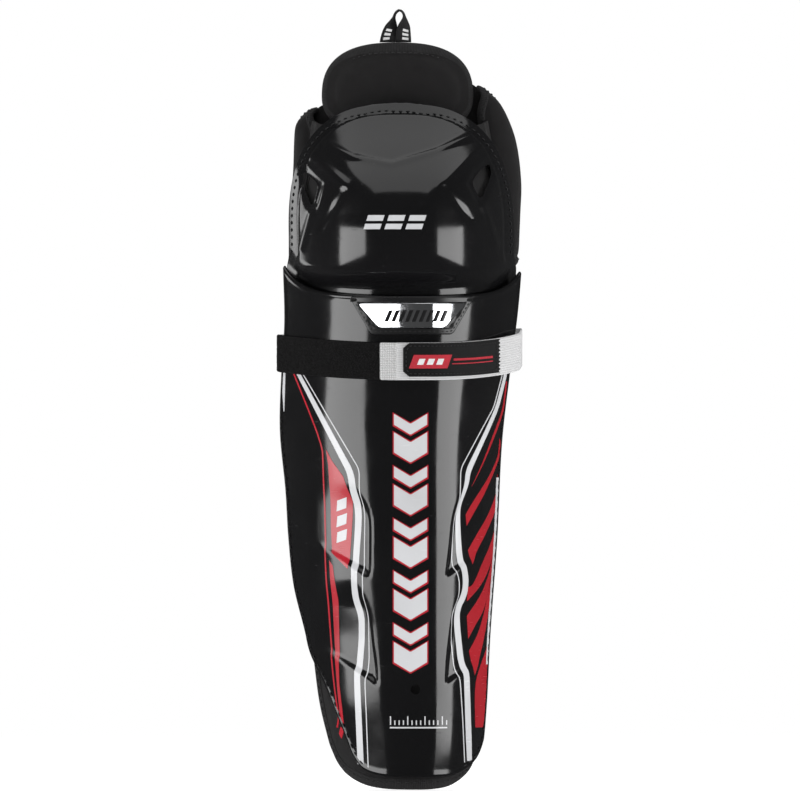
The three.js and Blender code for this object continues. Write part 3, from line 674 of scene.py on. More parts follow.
# ---- Materials -------------------------------------------------------------------------------
class Shader:
    """A node material in the making: a Principled surface, and short calls for the nodes that feed it."""

    def __init__(self, name, colour, roughness, woven=True, **inputs):
        self.colour = colour
        self.material = bpy.data.materials.new(name)
        self.material.use_nodes = True
        self.tree = self.material.node_tree
        self.surface = self.tree.nodes["Principled BSDF"]
        self.material.diffuse_color = (*colour, 1)
        self.set(Base_Color=(*colour, 1), Roughness=roughness, **inputs)
        self.place = self.vector("SCALE", {0: self.node("TexCoord", output="Object"), "Scale": 1 / MM})
        if woven:
            self.u, self.v = self.parts(self.node("UVMap", output="UV", uv_map=WEAVE))[:2]
        else:
            x, y, self.v = self.parts(self.place)
            self.u = self.maths("ADD", x, y)

    def set(self, **inputs):
        for key, value in inputs.items():
            self.feed(self.surface.inputs[key.replace("_", " ")], value)

    def feed(self, socket, value):
        if isinstance(value, bpy.types.NodeSocket):
            self.tree.links.new(value, socket)
        elif value is not None:
            socket.default_value = value

    def node(self, kind, inputs=(), output=0, **settings):
        """Adds a node, feeds its inputs by name or number and returns one of its outputs."""
        made = self.tree.nodes.new("ShaderNode" + kind)
        for key, value in settings.items():
            setattr(made, key, value)
        for key, value in dict(inputs).items():
            self.feed(made.inputs[key], value)
        return made.outputs[output]

    def parts(self, vector):
        return self.node("SeparateXYZ", {0: vector}).node.outputs

    def maths(self, operation, a, b=0.0):
        return self.node("Math", {0: a, 1: b}, operation=operation)

    def vector(self, operation, inputs):
        return self.node("VectorMath", inputs, operation=operation)

    def times(self, a, b):
        return self.maths("MULTIPLY", a, b)

    def plus(self, a, b, share_a=1.0, share_b=1.0):
        """The sum of two values, each counted by its share."""
        a, b = (v if share == 1.0 else self.times(v, share) for v, share in ((a, share_a), (b, share_b)))
        return self.maths("ADD", a, b)

    def spread(self, value, low, high, out_low=0.0, out_high=1.0):
        """Moves values from between low and high to between out_low and out_high."""
        return self.node("MapRange", {0: value, 1: low, 2: high, 3: out_low, 4: out_high})

    def wave(self, along, pitch):
        """A wave from 0 to 1 with its crests a pitch apart, in millimetres."""
        return self.spread(self.maths("SINE", self.times(along, 2 * math.pi / pitch)), -1, 1)

    def noise(self, size, detail=2.0, stretch=None):
        """Cloudy noise from 0 to 1 with features about size millimetres across."""
        where = self.node("Mapping", {"Vector": self.place, "Scale": stretch}) if stretch else self.place
        return self.node("TexNoise", {"Vector": where, "Scale": 1.0 / size, "Detail": detail}, "Fac")

    def cells(self, size):
        """Distance from the middle of scattered cells about size millimetres across."""
        return self.node("TexVoronoi", {"Vector": self.place, "Scale": 1.0 / size}, "Distance")

    def mix(self, share, a, b):
        a, b = ((*c, 1) if isinstance(c, tuple) else c for c in (a, b))
        return self.node("Mix", {0: share, 6: a, 7: b}, 2, data_type="RGBA")

    def tone(self, by, more=0.0):
        """The material's own colour made darker or lighter."""
        return tuple(min(1, c * by + more) for c in self.colour)

    def bumps(self, *layers):
        """Stacks bump layers of (height socket, depth in millimetres) into the surface's normal."""
        normal = None
        for height, depth in layers:
            inputs = {"Strength": 1.0, "Distance": depth * MM, "Height": height, "Normal": normal}
            normal = self.node("Bump", inputs)
        self.set(Normal=normal)
        return normal

    def bow(self, normal, middle, reach, tilt):
        """Leans a normal sideways, as if the surface were bowed about x = middle."""
        x = self.parts(self.place)[0]
        lean = self.node("CombineXYZ", {0: self.spread(x, middle - reach, middle + reach, -tilt, tilt)})
        self.set(Normal=self.vector("NORMALIZE", {0: self.vector("ADD", {0: normal, 1: lean})}))


def gloss_plastic(s, worn=(0.05, 0.05, 0.052), roughness=0.13):
    """Smooth moulded plastic or glossy ink: faint ripple, haze, hairline scratches and scuffed spots."""
    scratch = s.spread(s.noise(1.1, 2, stretch=(0.10, 0.10, 0.9)), 0.66, 0.78)
    spots = s.spread(s.noise(3.2, 5), 0.68, 0.80)
    haze = s.spread(s.noise(26, 3), 0.3, 0.75, roughness, roughness + 0.09)
    tint = s.mix(s.spread(s.noise(60), 0.3, 0.7), s.colour, s.tone(0.82))
    s.set(Roughness=s.plus(haze, scratch, 1, 0.16), Base_Color=s.mix(s.times(spots, 0.35), tint, worn))
    s.bumps((s.noise(16), 0.05), (s.noise(0.7), 0.004), (scratch, -0.006))


def woven_fabric(s, pitch=0.9, roughness=0.86, depth=0.16):
    """Close twill over foam: diagonal ribs, thread crossings, mottled dye and lint."""
    warp = s.wave(s.plus(s.u, s.v), pitch)
    weft = s.wave(s.maths("SUBTRACT", s.u, s.v), pitch * 0.62)
    cloth = s.plus(warp, weft, 0.65, 0.35)
    mottle = s.spread(s.noise(9, 4), 0.3, 0.7)
    base = s.mix(s.times(cloth, 0.55), s.tone(0.62), s.tone(1.9, 0.004))
    base = s.mix(s.times(mottle, 0.35), base, s.tone(0.6))
    base = s.mix(s.spread(s.noise(0.8, 3), 0.74, 0.80, 0, 0.5), base, s.tone(2.6, 0.02))
    s.set(Base_Color=base, Roughness=s.spread(cloth, 0, 1, roughness - 0.1, min(1, roughness + 0.1)))
    s.set(Sheen_Weight=0.06, Sheen_Roughness=0.45, Specular_IOR_Level=0.22)
    s.bumps((cloth, depth), (s.noise(7, 3), 0.25), (s.noise(0.5), 0.05))


def ribbed_tape(s, pitch=1.1, roughness=0.7):
    """Grosgrain binding: ribs across the tape and fine threads along it."""
    both = s.plus(s.wave(s.u, pitch), s.wave(s.v, 0.5), 0.7, 0.3)
    light = s.tone(1.8, 0.006)
    base = s.mix(s.spread(s.noise(5, 3), 0.45, 0.8, 0, 0.4), s.mix(both, s.tone(0.6), light), light)
    s.set(Base_Color=base, Roughness=s.spread(both, 0, 1, roughness + 0.12, roughness - 0.06))
    s.set(Sheen_Weight=0.04, Specular_IOR_Level=0.25)
    s.bumps((both, 0.22), (s.noise(3, 3), 0.12))


def brushed_fleece(s):
    """Brushed lining: short matted loops, soft lay marks and a strong sheen."""
    loops = s.cells(0.9)
    lay = s.spread(s.noise(14, 3, stretch=(1, 1, 0.4)), 0.3, 0.7)
    fuzz = s.noise(0.6, 4)
    base = s.mix(s.times(lay, 0.6), s.tone(0.72), s.tone(1.25))
    base = s.mix(s.spread(loops, 0, 0.8, 0, 0.6), base, s.tone(0.45))
    s.set(Base_Color=base, Roughness=s.spread(fuzz, 0.2, 0.8, 0.85, 1.0))
    s.set(Sheen_Weight=0.12, Sheen_Roughness=0.5, Specular_IOR_Level=0.2)
    s.bumps((loops, -0.35), (fuzz, 0.25), (lay, 0.3))


def loop_pile(s):
    """Unbroken nylon loops, dense and slightly shiny at their crowns, with a painted highlight on the crowns
    and painted shade between the loops.
    """
    crowns = s.spread(s.cells(0.75), 0.0, 0.55, 1, 0)
    tuft = s.spread(s.noise(4, 3), 0.35, 0.7)
    # Colour: the loop crowns are painted lighter (painted highlight) and the gaps between loops darker
    # (painted shade), with random darker tufts over them.
    base = s.mix(s.times(tuft, 0.4), s.mix(crowns, s.tone(0.3), s.tone(2.4)), s.tone(0.5))
    s.set(Base_Color=base, Roughness=s.spread(crowns, 0, 1, 1.0, 0.7), Specular_IOR_Level=0.22)
    s.bumps((crowns, 0.8), (s.noise(0.45, 4), 0.5), (tuft, 0.4))


def knitted_elastic(s):
    """Elastic webbing: cords lengthwise, fine cross knit, a little grey where hands have been."""
    cords = s.wave(s.v, 1.6)
    both = s.plus(cords, s.wave(s.plus(s.u, cords, 1, 0.5), 0.9), 0.6, 0.4)
    handled = s.spread(s.noise(20, 4), 0.5, 0.8, 0, 0.35)
    base = s.mix(handled, s.mix(both, s.tone(0.74), s.colour), s.tone(0.8))
    s.set(Base_Color=base, Roughness=s.spread(both, 0, 1, 0.95, 0.8))
    s.bumps((both, 0.3), (s.noise(0.6), 0.08))


def hook_tape(s):
    """Rows of stiff moulded hooks on a tape."""
    hooks = s.times(s.wave(s.u, 1.2), s.wave(s.v, 1.2))
    s.set(Base_Color=s.mix(hooks, s.tone(0.5), s.tone(1.7)))
    s.set(Roughness=s.spread(s.noise(4), 0.3, 0.7, 0.4, 0.65))
    s.bumps((hooks, 0.6), (s.noise(2), 0.05))


def bright_chrome(s):
    """Chromed plastic film: mirror bright, a little wavy, with fine rubbing haze."""
    haze = s.noise(8, 4)
    rub = s.spread(s.noise(0.9, 2, stretch=(0.2, 1, 1)), 0.6, 0.8, 0, 0.1)
    tint = s.mix(s.spread(haze, 0.3, 0.7), (0.86, 0.87, 0.89), (0.74, 0.75, 0.78))
    s.set(Metallic=1.0, Roughness=s.plus(s.spread(haze, 0.35, 0.8, 0.04, 0.14), rub), Base_Color=tint)
    s.bow(s.bumps((s.noise(11, 1), 0.12), (s.noise(1.5), 0.006)), 19.0, 9.0, 0.42)


def stiff_sheet(s):
    """Milky polyethylene sheet with drawn streaks and a satin skin."""
    streak = s.noise(5, 4, stretch=(1, 1, 0.15))
    tint = s.mix(s.spread(streak, 0.3, 0.7), (0.70, 0.70, 0.67), (0.58, 0.58, 0.56))
    s.set(Subsurface_Weight=0.1, Base_Color=tint, Roughness=s.spread(streak, 0.3, 0.7, 0.36, 0.56))
    s.bumps((streak, 0.06), (s.noise(0.8, 3), 0.02))


def twisted_thread(s):
    """Sewing thread: a tight twist and a waxy shine."""
    ply = s.wave(s.plus(s.u, s.v, 1, 1.7), 0.5)
    s.set(Base_Color=s.mix(ply, s.tone(0.6), s.tone(1.4)))
    s.set(Roughness=s.spread(s.noise(2), 0.3, 0.7, 0.45, 0.7))
    s.bumps((ply, 0.1), (s.noise(0.3), 0.03))


# Each look: its slot, its material, whether that runs along the sheet's own weave or along the
# axes, its colour, and the material's options.
ALONG_WEAVE, ALONG_AXES = True, False
LOOKS = {
    "shell_black": ("gloss_shell", gloss_plastic, ALONG_AXES, (0.0048, 0.0048, 0.0052),
                    dict(roughness=0.085)),
    "badge_black": ("gloss_shell", gloss_plastic, ALONG_AXES, (0.010, 0.010, 0.0105), dict(roughness=0.26)),
    "ink_white": ("gloss_shell", gloss_plastic, ALONG_AXES, (0.58, 0.585, 0.60),
                  dict(roughness=0.2, worn=(0.5, 0.5, 0.5))),
    "ink_red": ("gloss_shell", gloss_plastic, ALONG_AXES, (0.42, 0.013, 0.025),
                dict(roughness=0.18, worn=(0.2, 0.02, 0.03))),
    "ink_slash": ("gloss_shell", gloss_plastic, ALONG_AXES, (0.36, 0.012, 0.02),
                  dict(roughness=0.18, worn=(0.1, 0.02, 0.02))),
    "fabric_black": ("shell_fabric", woven_fabric, ALONG_WEAVE, (0.0105, 0.0098, 0.0102), {}),
    "fabric_chassis": ("shell_fabric", woven_fabric, ALONG_WEAVE, (0.0088, 0.0082, 0.0086),
                       dict(pitch=1.3, roughness=0.8, depth=0.22)),
    "binding_black": ("edge_tape", ribbed_tape, ALONG_WEAVE, (0.0092, 0.0088, 0.0092), {}),
    "loop_ribbon": ("edge_tape", ribbed_tape, ALONG_WEAVE, (0.007, 0.0066, 0.007),
                    dict(pitch=0.8, roughness=0.5)),
    "ribbon_white": ("edge_tape", ribbed_tape, ALONG_AXES, (0.66, 0.66, 0.66),
                     dict(pitch=0.8, roughness=0.6)),
    "fleece_grey": ("liner_fabric", brushed_fleece, ALONG_WEAVE, (0.085, 0.085, 0.091), {}),
    "fleece_black": ("liner_fabric", brushed_fleece, ALONG_WEAVE, (0.020, 0.020, 0.022), {}),
    "pile_black": ("pile_tape", loop_pile, ALONG_WEAVE, (0.011, 0.0105, 0.011), {}),
    "elastic_white": ("elastic_webbing", knitted_elastic, ALONG_WEAVE, (0.60, 0.60, 0.605), {}),
    "tab_black": ("edge_tape", woven_fabric, ALONG_WEAVE, (0.0045, 0.0045, 0.0048),
                  dict(pitch=0.8, roughness=0.7, depth=0.08)),
    "label_red": ("edge_tape", ribbed_tape, ALONG_AXES, (0.36, 0.012, 0.024), dict(pitch=0.7, roughness=0.5)),
    "hook_white": ("hook_tape", hook_tape, ALONG_WEAVE, (0.78, 0.78, 0.78), {}),
    "hook_black": ("hook_tape", hook_tape, ALONG_AXES, (0.02, 0.02, 0.021), {}),
    "chrome": ("badge_chrome", bright_chrome, ALONG_AXES, (0.83, 0.84, 0.86), {}),
    "sheet": ("stiffener_sheet", stiff_sheet, ALONG_AXES, (0.68, 0.68, 0.65), {}),
    "thread_black": ("edge_tape", twisted_thread, ALONG_AXES, (0.008, 0.008, 0.0085), {}),
    "thread_grey": ("edge_tape", twisted_thread, ALONG_AXES, (0.018, 0.018, 0.019), {}),
}
MATERIALS = {}
for look, (_, surface, woven, colour, options) in LOOKS.items():
    shader = Shader(look, colour, options.get("roughness", 0.8), woven)
    surface(shader, **options)
    MATERIALS[look] = shader.material


def dress(piece, look, body=None, *nodes):
    """Gives a piece its material, sets it riding on a body, and lets it stand for CAD nodes."""
    piece.data.materials.clear()
    piece.data.materials.append(MATERIALS[look])
    if body:
        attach(piece, body)
    if nodes:
        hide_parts(*nodes)


# ---- Sheets that the pieces are cut from -----------------------------------------------------
def flush(u):
    return lambda z: np.full(np.shape(z), float(u))


def cornered(base, sag, corner):
    return lambda s: base + sag * np.abs(s) ** 5 + corner * np.abs(s) ** 30


def level(z):
    return lambda s: np.full(np.shape(s), float(z))


def shin_sheet(left, right, bottom, top, relief=1.0, back_relief=None):
    """Points of a layer of the shin, between left and right edges and bottom and top curves."""

    def at(s, t, depth):
        z = lerp(bottom(s), top(s), t)
        x = shin_x(np.where(s < 0, -s * left(z), s * right(z)), z)
        share = relief
        if back_relief is not None:
            share = lerp(back_relief, relief, smooth(depth, -9, -4))
        return on_surface(shin_y, x, z, depth + share * shin_relief(x, z))

    return at


def on_shell(x, z, lift):
    return on_surface(shin_y, x, z, lift + shin_relief(x, z))


def on_cap(x, z, lift):
    return on_surface(knee_y, x, z, lift + knee_relief(x, z))


def round_sheet(point):
    """Turns point(r, angle, depth) of a round sheet into at(s, t, depth), spreading a square grid over it."""

    def at(s, t, depth):
        a, b = s, 2 * t - 1
        u, v = a * np.sqrt(1 - b * b / 2), b * np.sqrt(1 - a * a / 2)
        return point(np.hypot(u, v), np.arctan2(v, u), depth)

    return at


def cut(piece, cutter):
    """Cuts a hole and clears the cutter away."""
    hole = piece.modifiers.new("Hole", "BOOLEAN")
    hole.operation = "DIFFERENCE"
    hole.object = cutter
    hole.solver = "EXACT"
    apply_modifiers(piece)
    bpy.data.objects.remove(cutter)
    shade(piece.data, 40)


def through_cutter(outline, from_y, to_y):
    rings = np.array([[(x, y, z) for x, z in outline] for y in (from_y, to_y)], float)
    return sweep("cutter", rings, closed=False)


# ---- Shin ------------------------------------------------------------------------------------
shell_left = through((10, -0.68), (28, -0.735), (63, -0.84), (104, -1), (360, -1))


def shell_bottom(s):
    return np.where(s < 0, cornered(9, 8.5, 9)(s), cornered(9, 17, 9)(s))


def chassis_bottom(s):
    return np.where(s < 0, cornered(3.3, 18, 4)(s), cornered(3.3, 14, 4)(s))


def make_shell():
    at = shin_sheet(shell_left, flush(1), shell_bottom, shin_top)
    s, t = sheet_grid(160, 334, 1.2, 0.25, 0.6, 1.1, 1.8, 2.8, 4.0, up=1.35)
    piece, border = moulded("shell", at, s, t, bead=0.55)
    turn = np.linspace(0, 2 * np.pi, 28, endpoint=False)
    x, z = (VENT_HOLE[k] + VENT_HOLE["radius"] * f(turn) for k, f in (("x", np.cos), ("z", np.sin)))
    cut(piece, through_cutter(list(zip(x, z)), -80, -30))
    dress(piece, "shell_black", "shin", "shin_shell")
    return piece, border


def moulded(name, at, s, t, bead=0.0):
    """A moulded plastic sheet with a rounded rim and a raised bead along it. Returns it and its border."""
    distance = rim_distance(at(s, t, 0.0))
    drop = rim_drop(distance, 1.1)
    front = SHELL[0] + bead * bell(distance - 1.9, 1.3) - drop
    piece = closed_grid(name, at(s, t, front), at(s, t, SHELL[1] + drop * 0.4))
    return piece, Border(at(s, t, SHELL[0]), at(s, t, SHELL[1]))


LEFT_THICK = [(-72.8, 294), (-33.6, 220), (-32.5, 208), (-29.6, 195), (-29.7, 184), (-31.5, 158),
              (-31.5, 132), (-27.4, 121), (-27.4, 104), (-29.4, 80), (-29.2, 70), (-26.9, 18)]
LEFT_THIN = [(-70.0, 294), (-27.9, 222.7), (-27.9, 208), (-25.2, 191.4), (-25.7, 150), (-25.6, 134),
             (-22.7, 120), (-22.2, 90), (-24, 75), (-23.1, 54), (-21.6, 13.5)]
LEFT_LINE = [(-75.4, 294), (-53.7, 240.7), (-53, 226.6), (-52.3, 194.6), (-51.3, 149.4), (-47.9, 99.4),
             (-45.9, 77), (-43.4, 57.7), (-42.1, 50.3), (-43.3, 43.2)]
RIGHT_THICK = [(74.2, 294), (73.8, 289), (68, 266), (61.1, 250.2), (47.5, 221.4), (46.8, 213.5),
               (44.8, 205.5), (42.9, 198.6), (41.9, 190.6), (42, 175.7), (42.9, 160.8), (45.9, 150),
               (46, 135.5), (41.2, 125.8), (41.2, 114.7), (43.6, 89.7), (46.6, 81), (46.9, 71), (48.6, 20)]
RIGHT_THIN = [(72, 294), (71.6, 289.3), (65.5, 265.9), (56.9, 250.2), (42.5, 223.4), (42, 201.6),
              (40.2, 192.6), (38.9, 185.7), (37.6, 160.8), (37.9, 156.2), (41.5, 146.5), (41.5, 133.6),
              (36.3, 122.2), (37.2, 103.6), (38.9, 85.8), (42, 77), (43.8, 50.3), (45.2, 19)]
LEFT_PANEL = (
    [(-47.4, 165), (-48.3, 183), (-48.5, 208), (-49.4, 225.3), (-51, 236)],
    [(-36, 153.7), (-34.9, 170.3), (-33.8, 187.6), (-33.4, 200.9), (-36, 208), (-39, 217.8), (-46.6, 228.3),
     (-50.6, 236)],
)
LEFT_TAIL = (
    [(-39.1, 46), (-41.2, 49.5), (-43.4, 72.3), (-45.7, 101.7), (-47.2, 132), (-48.9, 159.7)],
    [(-38.6, 45.8), (-39.5, 53.9), (-41.8, 73.7), (-42.6, 104.2), (-43.3, 132), (-46.4, 156)],
)
LEFT_DROP = ([(-40.3, 35.7), (-42.1, 38.9), (-40.9, 43.7)], [(-40.1, 35.7), (-38.6, 41.5), (-40.7, 43.7)])
SLASHES = [
    ([(50.2, 211), (58, 228), (66.3, 250.2), (71, 262.4), (73.2, 274), (74.3, 284)],
     [(50.4, 211), (59, 228), (68, 250.2), (72.2, 262.4), (74, 274), (74.8, 284)]),
    ([(47.1, 191.3), (54.3, 205), (62.2, 217.7), (68, 230.3), (71.9, 244.6)],
     [(47.7, 183.5), (55.3, 198.1), (64.1, 216.7), (70, 232.3), (72.3, 242.1)]),
    ([(48.5, 166.5), (55.3, 179.7), (62.2, 192.3), (67.1, 205), (69.8, 219.6)],
     [(50.7, 156.7), (54.3, 166.5), (61.2, 180.7), (67.1, 194.3), (70.2, 211.8)]),
    ([(47.8, 141), (50.9, 141.5), (57.3, 157.2), (63.1, 169.9), (66.9, 183.5), (68.6, 198.8)],
     [(47.8, 131), (55.3, 140), (61.2, 150.4), (65, 163), (67.8, 177.9)]),
    ([(47.8, 120.9), (54.4, 131), (60.1, 143.6), (63.9, 156.4), (66.2, 174)],
     [(48.6, 104.9), (54, 115.9), (57.5, 122.2), (61.1, 133.6), (64.6, 149.4)]),
    ([(49.1, 96.5), (54.9, 108), (58.4, 121.3), (62, 139), (63.3, 148.7)],
     [(52.2, 79.6), (54, 84), (57.5, 99.1), (60.7, 115.9), (63, 132)]),
    ([(52.7, 43.2), (52, 73), (56.6, 87.6), (60.1, 96.6), (61.5, 104.2)],
     [(58, 43.2), (60.2, 59.2), (61.2, 85.8), (61.9, 100)]),
]
LEFT_WIDTHS = [2.3, 3.6, 4.8, 4.2, 4.2, 4.2, 4.2]  # the thick stripes' widths, from the top to the foot
RIGHT_WIDTHS = [2.0, 2.2, 2.4, 2.7, 3.0, 3.5, 2.8, 2.5, 3.4] + [3.9] * 10 + [3.3]
EDGE_STRIP = dict(low=87.0, high=217.0, inner=0.955, middle=0.978, outer=0.995, dash=4.0)
LEFT_WEDGE = [(-80.4, 263), (-80.8, 291)]
CHEVRONS = dict(count=5, low=89.0, pitch=36.4, x0=-3.8, x1=19.1, dip=7.0, thick=14.0, thin=7.5, gap=5.3)
RULE = dict(x0=-6.6, x1=33.0, z=43.0, ticks=14)


def chevron(x0, x1, z, tall, dip, grow):
    """A downward chevron, as its lower and upper edges."""
    middle = (x0 + x1) / 2
    line = [(x0 - grow, z), (middle, z - dip), (x1 + grow, z)]
    return [(x, y - grow * 1.15) for x, y in line], [(x, y + tall + grow * 1.15) for x, y in line]


def chevrons(grow):
    """The generic mark down the shell: a thick and a thin chevron, over and over."""
    c = CHEVRONS
    shapes = []
    for i in range(c["count"]):
        low = c["low"] + i * c["pitch"]
        for z, tall in ((low, c["thick"]), (low + c["thick"] + c["gap"], c["thin"])):
            shapes.append(chevron(c["x0"], c["x1"], z, tall, c["dip"], grow))
    return shapes


def rule_ticks():
    """A plain measuring scale above a rule."""
    ticks = [bar(RULE["x0"], RULE["x1"], RULE["z"], RULE["z"] + 1.0)]
    step = (RULE["x1"] - RULE["x0"] - 0.8) / (RULE["ticks"] - 1)
    for i in range(RULE["ticks"]):
        x = RULE["x0"] + i * step
        ticks.append(bar(x, x + 0.8, RULE["z"] + 2.4, RULE["z"] + (8.4 if i % 4 == 0 else 5.6)))
    return ticks


def edge_strip():
    """A white strip down the outer edge of the shell, with a dashed strip outside it."""
    e = EDGE_STRIP

    def between(inner, outer, low, high):
        z = np.linspace(low, high, max(3, int((high - low) / 2)))
        return tuple(np.stack([shin_x(np.full(z.shape, u), z), z], -1) for u in (inner, outer))

    strips = [between(e["inner"], e["middle"], e["low"], e["high"])]
    for z in np.arange(e["low"], e["high"], e["dash"]):
        strips.append(between(e["middle"], e["outer"], z, z + 0.4 * e["dash"]))
    return strips


def inside(line, limit):
    """A line of (x, z) points kept short of the shell's right edge."""
    return np.stack([np.minimum(line[:, 0], shin_x(np.full(len(line), limit), line[:, 1])), line[:, 1]], -1)


def make_prints():
    white = [stripe(LEFT_THICK, LEFT_WIDTHS, 3.0), stripe(RIGHT_THICK, RIGHT_WIDTHS, 3.0),
             stripe(LEFT_THIN, 0.65, 2.0), stripe(RIGHT_THIN, 0.6, 2.0), stripe(LEFT_WEDGE, (0.5, 3.0))]
    marks = [bar(-44.5, -38, z, z + 7.5, lean=0.6, rise=2.4) for z in (171.5, 182.5, 193.5)]
    red = [LEFT_PANEL, LEFT_TAIL, LEFT_DROP, stripe(LEFT_LINE, 0.95)]
    slashes = [(inside(curved(left), 0.965), inside(curved(right), 0.98)) for left, right in SLASHES]
    for name, look, shapes, lift in (
        ("print_white", "ink_white", white, 0.16),
        ("print_red", "ink_red", red, 0.16),
        ("print_panel_mark", "ink_white", marks, 0.24),
        ("print_slashes", "ink_slash", slashes, 0.16),
        ("print_edge_strip", "ink_white", edge_strip(), 0.24),
        ("print_block_outline", "ink_red", chevrons(0.9), 0.16),
        ("print_blocks", "ink_white", chevrons(0), 0.24),
        ("print_scale", "ink_white", rule_ticks(), 0.16),
    ):
        dress(printed(name, on_shell, shapes, lift), look, "shin")


def make_shell_seams(shell, border):
    """The seams low on the shell's two sides."""
    sides = (("outer", lambda p: p[0] < -24 and p[2] < 262), ("inner", lambda p: p[0] > 44 and p[2] < 262))
    for name, keep in sides:
        thread = border_seam("seam_shell_" + name, shell, border, 3.6, 8.0, length=4.6, radius=0.5, keep=keep)
        dress(thread, "thread_grey", "shin")


def make_chassis():
    at = shin_sheet(flush(-1), flush(1), lambda s: chassis_bottom(s) - 2.2, lambda s: 321 - 4 * s * s,
                    relief=1.0, back_relief=0.55)
    piece, border = soft_pad("chassis", at, 190, 318, *CHASSIS, step=6, sewn=9, corner=9, rim=(-4.4, -9.4),
                             puff=(0, 1.2))
    dress(piece, "fabric_chassis", "shin", "shin_chassis")
    tape = edge_tape("chassis_binding", border, 2.6, 6.5)
    dress(tape, "binding_black", "shin", "shin_binding")
    return tape, border


def make_liner():
    at = shin_sheet(flush(-0.93), flush(0.9), cornered(10, 16, 6), lambda s: 316 - 4 * s * s, relief=0.0)

    def under_bar(p):
        return (np.abs(p[..., 0] - TIBIA["x"]) < TIBIA["half"] + 4) & (p[..., 2] > 112) & (p[..., 2] < 298)

    piece, _ = soft_pad("liner", at, 160, 300, *LINER, step=6, sewn=6, corner=14, rim=(-13.2, -17.5), ease=9,
                        puff=(0, 2.4), channels=(0.27, 0.72), held=under_bar)
    dress(piece, "fleece_grey", "shin", "shin_liner")


TIBIA = dict(low=120.0, high=290.0, x=float(shin_ridge(200)), half=16.0, back=-24.0, deep=14.0)


def make_tibia_pad():
    """A flat-backed bar of felt on the liner. Its depth is counted forwards from its back plane."""

    def at(s, t, depth):
        z = lerp(TIBIA["low"], TIBIA["high"], t)
        x = TIBIA["x"] + TIBIA["half"] * s
        full = TIBIA["back"] - on_surface(shin_y, x, z, LINER[1] - 1.0)[..., 1]
        return np.stack([x, TIBIA["back"] - full * depth / TIBIA["deep"], z], -1)

    piece, _ = soft_pad("tibia_pad_felt", at, 32, 170, TIBIA["deep"], 0.0, step=4, sewn=4, corner=6,
                        rim=(TIBIA["deep"], 3.2), ease=5, groove=1.0, puff=(0, 0.9))
    dress(piece, "fleece_black", "shin", "tibia_pad")


def make_gusset():
    """A web of fabric that joins the shin to the knee behind the gap between shell and cap."""
    at = shin_sheet(flush(-0.84), flush(0.82), level(323), level(347), relief=0)
    s, t = sheet_grid(150, 24, 2.0, 0.5, up=1.2)
    folds = 0.45 * np.sin(t * 24 / 2.6) * (1 - s**4)
    front, back = at(s, t, -9.4 + folds), at(s, t, -10.5 + folds)
    piece = closed_grid("gusset", front, back, run_lengths(at(s, t, -10.0)))
    dress(piece, "fabric_black")
    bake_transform(piece)
    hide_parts("knee_gusset")


# ---- Badge -----------------------------------------------------------------------------------
def badge_plate(name, look, node, inset, depth, rim, pocket=None):
    """One plate of the badge, between two depths, with an optional pocket of (inset, depth) in its face."""

    def at(s, t, depth):
        z = lerp(BADGE["bottom"] + inset, BADGE["top"] - inset, t)
        half = lerp(BADGE["bottom_half"], BADGE["top_half"], t) - inset * 1.2
        return on_surface(shin_y, BADGE["x"] + half * s, z, depth)

    width, height = 70 - 2.4 * inset, BADGE["top"] - BADGE["bottom"] - 2 * inset
    s_lines, t_lines = (lines(size, 0.8, 0.2, 0.5, 0.9, 1.4) for size in (width, height))
    s, t = sheet_lines(width, height, 2.6, s_lines, t_lines)
    distance = rim_distance(at(s, t, 0.0))
    front = depth[0] - rim_drop(distance, rim)
    if pocket:
        front = front - pocket[1] * smooth(distance, pocket[0] - 0.5, pocket[0] + 0.2)
    piece = closed_grid(name, at(s, t, front), at(s, t, np.full(s.shape, depth[1])))
    dress(piece, look, "shin", node)
    return piece, Border(at(s, t, depth[0]), at(s, t, depth[1]))


def make_badge():
    bezel, border = badge_plate("badge_bezel_moulded", "badge_black", "badge_bezel", 0, (2.4, 0.2), 0.9,
                                pocket=(4.3, 1.1))
    badge_plate("badge_plate_chromed", "chrome", "badge_plate", 4.5, (2.75, 1.35), 0.7)
    bars = [bar(x, x + 2.5, 325.4, 333.4, lean=3.2) for x in -10.0 + 4.6 * np.arange(9)]
    raised = printed("badge_bars", lambda x, z, d: on_surface(shin_y, x, z, d), bars, lift=2.95, spacing=0.8,
                     bulge=0.18)
    dress(raised, "badge_black", "shin")
    thread = border_seam("seam_badge", bezel, border, 2.2, 3.3, length=2.2, radius=0.36,
                         keep=lambda p: p[2] < BADGE["top"] - 4.5)
    dress(thread, "thread_grey", "shin")
    for side, node in ((-1, "badge_tack_left"), (1, "badge_tack_right")):
        x = BADGE["x"] + side * (BADGE["top_half"] - 3.4) + np.linspace(-1.5, 1.5, 5)
        line = on_surface(shin_y, x, np.full(5, BADGE["top"] - 2.4), 2.4)
        facing, upright = np.tile([0.0, -1.0, 0.0], (5, 1)), np.tile([0.15, 0.0, 1.0], (5, 1))
        dress(stitches(node + "_thread", line, upright, facing, 3.0, 0.5), "thread_black", "shin", node)


# ---- Knee ------------------------------------------------------------------------------------
def knee_sheet(scale, relief=0.0, drop=1.0, sunk_only=True):
    """Points of a layer of the knee, r from 0 to scale out from its middle, its lower half shrunk by drop."""

    def point(r, angle, depth):
        x, z = knee_point(r * scale, angle)
        z = np.where(z < KNEE["z"], KNEE["z"] - (KNEE["z"] - z) * drop, z)
        if relief:
            carved = knee_relief(x, z)
            depth = depth + relief * (np.minimum(carved, 0) if sunk_only else carved)
        return on_surface(knee_y, x, z, depth)

    return point


